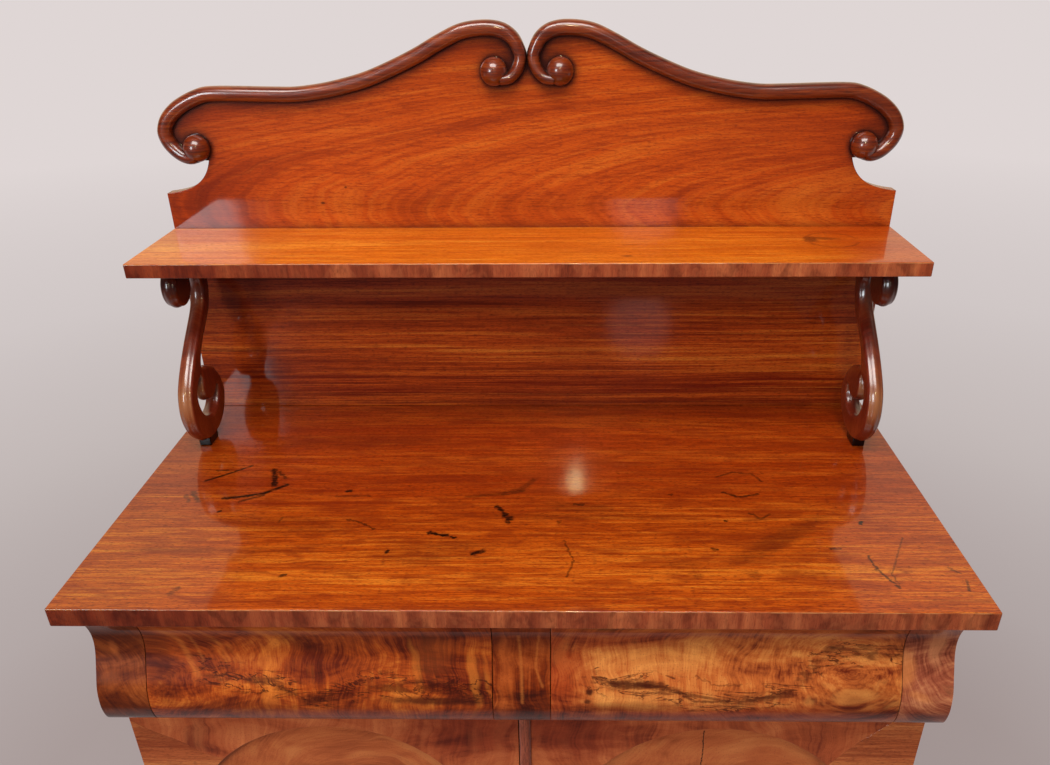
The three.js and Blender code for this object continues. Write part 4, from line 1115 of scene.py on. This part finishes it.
def ogee_profile(z_low, z_high, front_y, back_y, top):
    """Closed outline of a frieze block in Y and Z between two levels."""
    curve = spline([(front_y + back * OGEE_DEPTH, top - down * FRIEZE_HEIGHT)
                    for back, down in OGEE_SHARES], PROFILE_STEPS)
    face = [(y, z) for y, z in curve if z_low + GAP < z < z_high - GAP]

    def at_level(z):
        below = next((i for i, p in enumerate(curve) if p[1] <= z), len(curve) - 1)
        (y0, z0), (y1, z1) = curve[max(below, 1) - 1], curve[max(below, 1)]
        return (y0 + (y1 - y0) * (z0 - z) / (z0 - z1), z)

    return [at_level(z_high), *face, at_level(z_low), (back_y, z_low), (back_y, z_high)]


def make_frieze():
    """Corner blocks, centre block and the drawers' fronts."""
    front_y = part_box("worktop")[0].y + OGEE_SETBACK
    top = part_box("worktop")[0].z
    finishes = {"corner_block_left": "block_left_veneer", "corner_block_right": "block_right_veneer",
                "centre_block": "centre_veneer", "left_drawer_front": "drawer_left_veneer",
                "right_drawer_front": "drawer_right_veneer"}
    for node, finish in finishes.items():
        low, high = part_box(node)
        body = node.replace("_front", "") if "drawer" in node else "cabinet"
        profile = ogee_profile(low.z, high.z, front_y, high.y, top)
        piece = strip(f"{node}_ogee", profile, low.x, high.x, OGEE_EDGE, finish)
        ride(piece, body, "flame_wood", node)


def make_drawers():
    """Boards behind the drawers' fronts."""
    for _, side in SIDES:
        body = f"{side}_drawer"
        for part in ("inner_side", "outer_side"):
            node_board(f"{body}_{part}", body, "inside_wood", "pine_deep")
        for part in ("bottom", "back"):
            node_board(f"{body}_{part}", body, "inside_wood", "pine_across")
    for node in ("left_runner", "right_runner", "drawer_divider"):
        give_materials(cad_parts[node].data, "pine_deep")


def door_veneers(side, middle, spring, sill, left, right, floor, top):
    """Two outlines that cover a door's face: its field, and the outer end with its curved joint."""
    sign = -1 if side == "left" else 1
    outer, inner = (left, right) if side == "left" else (right, left)
    joint = [(middle + sign * across * MM, top - down * MM) for across, down in DOOR_JOINTS[side]]
    last = joint[-1]
    meet = math.asin((last[1] - spring) / ARCH_RADIUS)
    joint = spline(joint, PROFILE_STEPS)
    jamb = middle + sign * ARCH_RADIUS

    def head(start, end, steps):
        return [(middle + sign * x, z)
                for x, z in round_line((0.0, spring), ARCH_RADIUS, start, end, steps)]

    on_top = joint[0][1] > top - GAP
    end_piece = [(outer, floor), (jamb, floor), *head(0, meet, 14), *reversed(joint[:-1])]
    field = [(jamb, floor), (inner, floor), (inner, top)]
    if on_top:
        end_piece.append((outer, top))
    else:
        field.append((outer, top))
    field += joint[:-1] + head(meet, math.pi, 40)
    field += [(middle - sign * ARCH_RADIUS, sill), (jamb, sill)]
    return field, end_piece


def keyhole_meshes(front, back):
    """Round hole for the key's shaft, and the slot below it for the bit."""
    low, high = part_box("key")
    x, z = (low.x + high.x) / 2, (low.z + high.z) / 2
    radius = (high.x - low.x) / 2 + KEY_ROOM
    length = back - front + 2 * CUT_PAST
    place = Matrix.Translation((x, (front + back) / 2, z)) @ Matrix.Rotation(math.pi / 2, 4, "X")
    bm = bmesh.new()
    bmesh.ops.create_cone(bm, cap_ends=True, segments=32, radius1=radius, radius2=radius,
                          depth=length, matrix=place)
    half = (KEY_BIT_THICKNESS + KEY_ROOM) / 2
    slot = box_shape((x - half, front - CUT_PAST, z - KEY_BIT_REACH - KEY_ROOM),
                     (x + half, back + CUT_PAST, z))
    return [mesh_from(bm), mesh_from(slot)]


def lock_openings(side, front, back):
    """The lock's pocket and keyhole in the right door, the bolt's mortise in the left door."""
    if side == "left":
        low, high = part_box("lock_bolt")
        room = Vector((0, KEY_ROOM, KEY_ROOM))
        low, high = low - room, high + room
        low.x -= BOLT_THROW + KEY_ROOM
        return [mesh_from(box_shape(low, high))]
    low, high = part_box("lock_case")
    room = Vector((LOCK_JOINT,) * 3)
    low, high = low - room, high + room
    low.x -= POCKET_PAST
    high.y = back + POCKET_PAST
    return [mesh_from(box_shape(low, high)), *keyhole_meshes(front, back)]


def make_door(side):
    """A door's veneers, stiles, arched head, rails and panel."""
    body = f"{side}_door"
    stiles = [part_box(f"{body}_{part}") for part in ("hinge_stile", "meeting_stile")]
    rail_low, rail_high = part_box(f"{body}_top_rail")
    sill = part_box(f"{body}_bottom_rail")[1].z
    left = min(low.x for low, _ in stiles)
    right = max(high.x for _, high in stiles)
    (_, front, floor), (_, back, top) = stiles[0]
    face = front + VENEER
    middle = (rail_low.x + rail_high.x) / 2
    spring = top - ARCH_CROWN - ARCH_RADIUS

    def add_board(name, low, high, finish, *nodes):
        piece = board(f"{body}_{name}", low, high, finish, DOOR_EDGE)
        return ride(piece, body, "flame_wood", *nodes)

    veneers = door_veneers(side, middle, spring, sill, left, right, floor, top)
    finishes = (f"door_{side}_veneer", "door_stile_veneer")
    for part, outline, finish in zip(("field", "end"), veneers, finishes):
        veneer = plate(f"{body}_{part}_veneer", [outline], "xz", front, face, VENEER_EDGE, finish, 2)
        if (side, part) == ("right", "field"):
            cut_openings(veneer, keyhole_meshes(front, face))
        ride(veneer, body, "flame_wood")
    for part in ("hinge_stile", "meeting_stile"):
        low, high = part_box(f"{body}_{part}")
        inner = middle + math.copysign(ARCH_RADIUS, (low.x + high.x) / 2 - middle)
        x0, x1 = (low.x, inner) if low.x < middle else (inner, high.x)
        piece = add_board(f"{part}_board", (x0, face, floor), (x1, back, top), "door_stile_wood",
                          f"{body}_{part}")
        if part == "meeting_stile":
            cut_openings(piece, lock_openings(side, front, back))
    half = ARCH_RADIUS - GAP
    foot = spring + half * SPANDREL_FOOT_SHARE
    head = reversed(round_line((middle, spring), ARCH_RADIUS, 0.0, math.pi, ARC_STEPS))
    head = [(x, z) for x, z in head if abs(x - middle) < half and z > foot]
    spandrel = [(middle - half, foot), *head, (middle + half, foot), (middle + half, top),
                (middle - half, top)]
    piece = plate(f"{body}_top_rail_board", [spandrel], "xz", face, front + PANEL_SINK - GAP,
                  SPANDREL_EDGE, "door_rail_wood", 1)
    ride(piece, body, "flame_wood", f"{body}_top_rail")
    add_board("top_bar", (middle - half, front + PANEL_SINK, top - ARCH_CROWN + TOP_BAR_RISE),
              (middle + half, back, top), "door_rail_wood")
    add_board("bottom_rail_board", (middle - half, face, floor), (middle + half, back, sill),
              "door_rail_wood", f"{body}_bottom_rail")
    node_board(f"{body}_panel", body, "flame_wood", f"panel_{side}_veneer", DOOR_EDGE)


def make_bead():
    low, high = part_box("right_door_bead")
    middle = (low.x + high.x) / 2
    half, proud = (high.x - low.x) / 2, high.y - low.y
    steps = 20
    bm = bmesh.new()
    rings = []
    for z, share in ((low.z, BEAD_END_SHARE), (low.z + BEAD_END, 1.0), (high.z - BEAD_END, 1.0),
                     (high.z, BEAD_END_SHARE)):
        rings.append([bm.verts.new((middle + half * share * math.cos(math.pi * k / steps),
                                    high.y - proud * share * math.sin(math.pi * k / steps), z))
                      for k in range(steps + 1)])
    close_bar(bm, rings)
    piece = new_piece("right_door_bead_moulding", mesh_from(bm), ["bead_wood"],
                      MOULDING_CREASE)
    ride(piece, "right_door", "carved_wood", "right_door_bead")


def gallery_levels():
    shelf_low, shelf_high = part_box("gallery_shelf")
    return shelf_low, shelf_high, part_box("gallery_lower_board")[0].y


def moulding_frames(side, steps=220):
    """Point, outward direction and half width at even steps from the inner to the outer end."""
    _, shelf_high, _ = gallery_levels()
    line = spline([(side * across * PEDIMENT_REACH, shelf_high.z + up * PEDIMENT_RISE)
                   for across, up in MOULDING_SHARES], MOULDING_STEPS)
    lengths = [0.0]
    for a, b in zip(line, line[1:]):
        lengths.append(lengths[-1] + math.dist(a, b))
    frames = []
    index = 0
    for step in range(steps + 1):
        goal = lengths[-1] * step / steps
        while index < len(line) - 2 and lengths[index + 1] < goal:
            index += 1
        share = (goal - lengths[index]) / max(lengths[index + 1] - lengths[index], 1e-9)
        a, b = Vector(line[index]), Vector(line[index + 1])
        ahead = Vector(line[min(index + 3, len(line) - 1)]) - Vector(line[max(index - 2, 0)])
        ahead.normalize()
        outward = Vector((side * -ahead.y, side * ahead.x))
        t = min(max((step / steps) / NECK_END_SHARE, 0), 1)
        grow = t * t * (3 - 2 * t)
        half = (NECK_WIDTH + (MOULDING_WIDTH - NECK_WIDTH) * grow) / 2
        frames.append((a.lerp(b, share), outward, half))
    return frames


def sweep_moulding(bm, side, face_y, section=18):
    """Half-round moulding with a full nose, rising into the bosses at both ends."""
    frames = moulding_frames(side)
    count = len(frames)
    rings = []
    for index, (point, outward, half) in enumerate(frames):
        to_end = min(index, count - 1 - index) / (count * CURL_SHARE)
        rise = max(1.0 - to_end, 0.0) ** CURL_STEEPNESS * CURL_RISE
        ring = []
        for k in range(section + 1):
            angle = math.pi * k / section
            width = abs(math.cos(angle)) ** MOULDING_FULLNESS[0]
            across = math.copysign(width, math.cos(angle)) * half
            proud = math.sin(angle) ** MOULDING_FULLNESS[1] * (MOULDING_PROUD + rise)
            ring.append(bm.verts.new((point.x + outward.x * across, face_y - proud,
                                      point.y + outward.y * across)))
        rings.append(ring)
    close_bar(bm, rings)


def add_boss(bm, side, shares, face_y, shelf_top, turns=40, steps=14):
    """Round boss, flat where it meets the board."""
    centre_x = side * shares[0] * PEDIMENT_REACH
    centre_z = shelf_top + shares[1] * PEDIMENT_RISE
    centre_y = face_y + GAP - BOSS_SINK
    last = math.acos(-(BOSS_SINK - GAP) / BOSS_RADIUS)
    tip = bm.verts.new((centre_x, centre_y - BOSS_RADIUS, centre_z))
    rings = []
    for step in range(1, steps + 1):
        angle = last * step / steps
        radius, depth = BOSS_RADIUS * math.sin(angle), BOSS_RADIUS * math.cos(angle)
        circle = round_line((centre_x, centre_z), radius, 0.0, 2 * math.pi, turns)
        rings.append([bm.verts.new((x, centre_y - depth, z)) for x, z in circle[:-1]])
    for k in range(turns):
        after = (k + 1) % turns
        bm.faces.new((tip, rings[0][k], rings[0][after]))
        for near, far in zip(rings, rings[1:]):
            bm.faces.new((near[k], far[k], far[after], near[after]))
    bm.faces.new(rings[-1])


def make_scrolls():
    _, shelf_high, face = gallery_levels()
    for side, name in SIDES:
        bm = bmesh.new()
        sweep_moulding(bm, side, face - GAP)
        for shares in (INNER_BOSS_SHARES, OUTER_BOSS_SHARES):
            add_boss(bm, side, shares, face - GAP, shelf_high.z)
        piece = new_piece(f"pediment_scroll_{name}_moulding", mesh_from(bm), ["moulding_wood"],
                          MOULDING_CREASE)
        ride(piece, "cabinet", "carved_wood", f"pediment_scroll_{name}")


def bezier(p0, p1, p2, p3, steps):
    result = []
    for step in range(steps + 1):
        t = step / steps
        shares = ((1 - t) ** 3, 3 * t * (1 - t) ** 2, 3 * t * t * (1 - t), t ** 3)
        result.append(tuple(sum(s * p[i] for s, p in zip(shares, (p0, p1, p2, p3))) for i in (0, 1)))
    return result


def pediment_outline(base, half):
    """Board outline in X and Z: just under the moulding's outer edge, then notch and shoulder."""
    _, shelf_high, _ = gallery_levels()
    edge = [(p.x + o.x * (h - EDGE_COVER), p.y + o.y * (h - EDGE_COVER))
            for p, o, h in moulding_frames(1)]
    start = max(range(len(edge)), key=lambda i: edge[i][1])
    while edge[start - 1][0] < edge[start][0] and edge[start - 1][0] > GAP:
        start -= 1
    top = (NOTCH_TOP_SHARES[0] * PEDIMENT_REACH, shelf_high.z + NOTCH_TOP_SHARES[1] * PEDIMENT_RISE)
    line = [p for p in edge[start:] if p[0] > top[0] or p[1] > top[1]]
    shoulder = (half, shelf_high.z + SHOULDER_RISE)
    span = (shoulder[0] - top[0], shoulder[1] - top[1])
    handles = [(top[0] + a * span[0], top[1] + b * span[1]) for a, b in NOTCH_HANDLE_SHARES]
    right = even(line, OUTLINE_GAP) + bezier(top, *handles, shoulder, 16) + [(half, base)]
    left = [(-x, z) for x, z in reversed(right)]
    return left + [(0.0, line[0][1] - MIDDLE_DIP_SHARE * NECK_WIDTH)] + right


def make_gallery():
    node_board("gallery_lower_board", "cabinet", "panel_wood", "gallery_wood")
    node_board("gallery_shelf", "cabinet", "top_wood", "shelf_wood", WORN_EDGE, "edge_band_wood")
    low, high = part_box("gallery_upper_board")
    piece = plate("gallery_upper_board_shaped", [pediment_outline(low.z, high.x)], "xz", low.y,
                  high.y, BOARD_EDGE, "pediment_wood", 2)
    ride(piece, "cabinet", "top_wood", "gallery_upper_board")


def arc(centre, radius, start, end):
    """Points of a clockwise arc, without its ends."""
    while end > start:
        end -= 2 * math.pi
    return round_line(centre, radius, start, end, ARC_STEPS)[1:-1]


def support_outlines():
    """Outside and eye opening of a scroll support, in Y and Z."""
    shelf_low, _, _ = gallery_levels()
    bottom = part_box("worktop")[1].z + SUPPORT_FOOT_HEIGHT + GAP
    height = shelf_low.z - GAP - bottom
    belly = shelf_low.y + SUPPORT_SETBACK + GAP

    def at(share):
        return (belly + share[0] * SUPPORT_DEPTH, bottom + share[1] * height)

    def angle(centre, point):
        return math.atan2(point[1] - centre[1], point[0] - centre[0])

    roll, eye = at(SUPPORT_ROLL_SHARES), at(SUPPORT_EYE_SHARES)
    front = [at(s) for s in SUPPORT_FRONT_SHARES]
    hole = [at(s) for s in SUPPORT_HOLE_SHARES]
    outside = spline(front, SUPPORT_STEPS)
    outside += arc(roll, SUPPORT_ROLL_RADIUS, angle(roll, front[-1]), math.pi / 2)
    outside += spline([at(s) for s in SUPPORT_REAR_SHARES], SUPPORT_STEPS)
    outside += spline([at(s) for s in SUPPORT_VOLUTE_SHARES], SUPPORT_STEPS)[1:-1]
    opening = spline(hole, SUPPORT_STEPS)
    opening += arc(eye, SUPPORT_EYE_RADIUS, angle(eye, hole[-1]), EYE_SLIT_END)
    return outside, opening


def crown_front(piece, middle, half, height):
    """Rounds a flat narrow side across its width, between its two rounded edges."""
    bm = bmesh.new()
    bm.from_mesh(piece.data)
    for share in CROWN_CUTS:
        bmesh.ops.bisect_plane(bm, geom=bm.verts[:] + bm.edges[:] + bm.faces[:],
                               plane_co=(middle + share * half, 0, 0), plane_no=(1, 0, 0))
    bm.normal_update()
    moves = []
    for vert in bm.verts:
        share = (vert.co.x - middle) / half
        if abs(share) < 0.99 and abs(vert.normal.x) < 0.5 and vert.normal.y < CROWN_LIMIT:
            lean = min(max((CROWN_LIMIT - vert.normal.y) / CROWN_FADE, 0.0), 1.0)
            moves.append((vert, vert.normal * height * (1 - share * share) * lean))
    for vert, move in moves:
        vert.co += Vector((0, move.y, move.z))
    bm.to_mesh(piece.data)
    bm.free()
    piece.data.shade_smooth()


def make_supports():
    outside, opening = support_outlines()
    for _, side in SIDES:
        node = f"scroll_support_{side}"
        low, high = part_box(node)
        piece = plate(f"{node}_carving", [outside, opening], "yz", low.x, high.x, SUPPORT_EDGE,
                      "support_wood", 5)
        middle_x = (low.x + high.x) / 2
        crown_front(piece, middle_x, (high.x - low.x) / 2 - SUPPORT_EDGE, SUPPORT_CROWN)
        ride(piece, "cabinet", "carved_wood", node)
        middle_y = outside[0][0]
        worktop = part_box("worktop")[1].z
        foot_top = worktop + SUPPORT_FOOT_HEIGHT + SUPPORT_FOOT_COVER
        half_x, half_y = SUPPORT_FOOT_HALF
        foot = board(f"{node}_foot", (middle_x - half_x, middle_y - half_y, worktop + GAP),
                     (middle_x + half_x, middle_y + half_y, foot_top), "support_foot_wood",
                     SUPPORT_FOOT_EDGE)
        ride(foot, "cabinet", "carved_wood", node)


def finish_metal():
    """Hinges, lock and key keep their shape and get their metal."""
    for name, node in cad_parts.items():
        if "hinge_fixed_leaf" in name or "hinge_door_leaf" in name or name == "lock_case":
            give_materials(node.data, "aged_brass")
        if name in ("lock_bolt", "key"):
            give_materials(node.data, "dull_steel")


def make_camera():
    camera = add_object("camera", bpy.data.cameras.new("camera"))
    camera.data.sensor_width = SENSOR_WIDTH
    camera.data.sensor_fit = "HORIZONTAL"
    camera.data.lens = CAMERA_FOCUS_PIXELS / PICTURE_WIDTH * SENSOR_WIDTH
    camera.data.shift_x = -CAMERA_AXIS_PIXELS[0] / PICTURE_WIDTH
    camera.data.shift_y = CAMERA_AXIS_PIXELS[1] / PICTURE_WIDTH
    camera.matrix_world = (Matrix.Translation(CAMERA_PLACE)
                           @ Matrix.Rotation(math.radians(CAMERA_TURN), 4, "Z")
                           @ Matrix.Rotation(math.radians(90 - CAMERA_DOWN), 4, "X")
                           @ Matrix.Rotation(math.radians(CAMERA_ROLL), 4, "Z"))
    bpy.context.scene.camera = camera


def make_lights():
    for name, place, size, power, colour, shape in LIGHTS:
        light = bpy.data.lights.new(name, "AREA")
        light.shape = shape
        light.size, light.size_y = size
        light.energy = power
        light.color = colour
        lamp = add_object(name, light)
        lamp.location = place
        aim = Vector(LIGHTS_AIM) - Vector(place)
        lamp.rotation_euler = aim.to_track_quat("-Z", "Y").to_euler()


def make_world():
    """Soft light, with a pale background behind and a dim room in front for the polish to mirror."""
    world = bpy.data.worlds.new("studio")
    bpy.context.scene.world = world
    graph = Graph(world, "Generated")

    def background(colour, strength=1.0):
        return graph.add("ShaderNodeBackground", {0: colour, 1: strength}).outputs[0]

    rays = graph.add("ShaderNodeLightPath").outputs
    mirrored = graph.largest(rays["Is Glossy Ray"], rays["Is Transmission Ray"])
    behind = graph.add("ShaderNodeMapRange", {0: graph.axis["y"], 1: BEHIND[0], 2: BEHIND[1]})
    room = graph.blend(behind.outputs[0], background(tint(DIM_ROOM)), background(tint(MIRRORED)))
    light = graph.blend(mirrored, background(WORLD_COLOUR, WORLD_STRENGTH), room)
    light = graph.blend(rays["Is Camera Ray"], light, background(tint(BACKGROUND)))
    graph.finish(light, "ShaderNodeOutputWorld")


def make_floor():
    bm = bmesh.new()
    bmesh.ops.create_grid(bm, x_segments=4, y_segments=4, size=FLOOR_HALF)
    mesh = bpy.data.meshes.new("floor")
    bm.to_mesh(mesh)
    bm.free()
    floor_paint()
    give_materials(mesh, "floor_paint")
    floor = add_object("floor", mesh)


make_board_woods()
make_carved_woods()
make_veneers()
make_plain_materials()
make_camera()
make_lights()
make_world()
make_floor()
make_case()
make_frieze()
make_drawers()
for _, side_name in SIDES:
    make_door(side_name)
make_bead()
make_gallery()
make_scrolls()
make_supports()
finish_metal()

bpy.context.scene.view_settings.view_transform = "Standard"
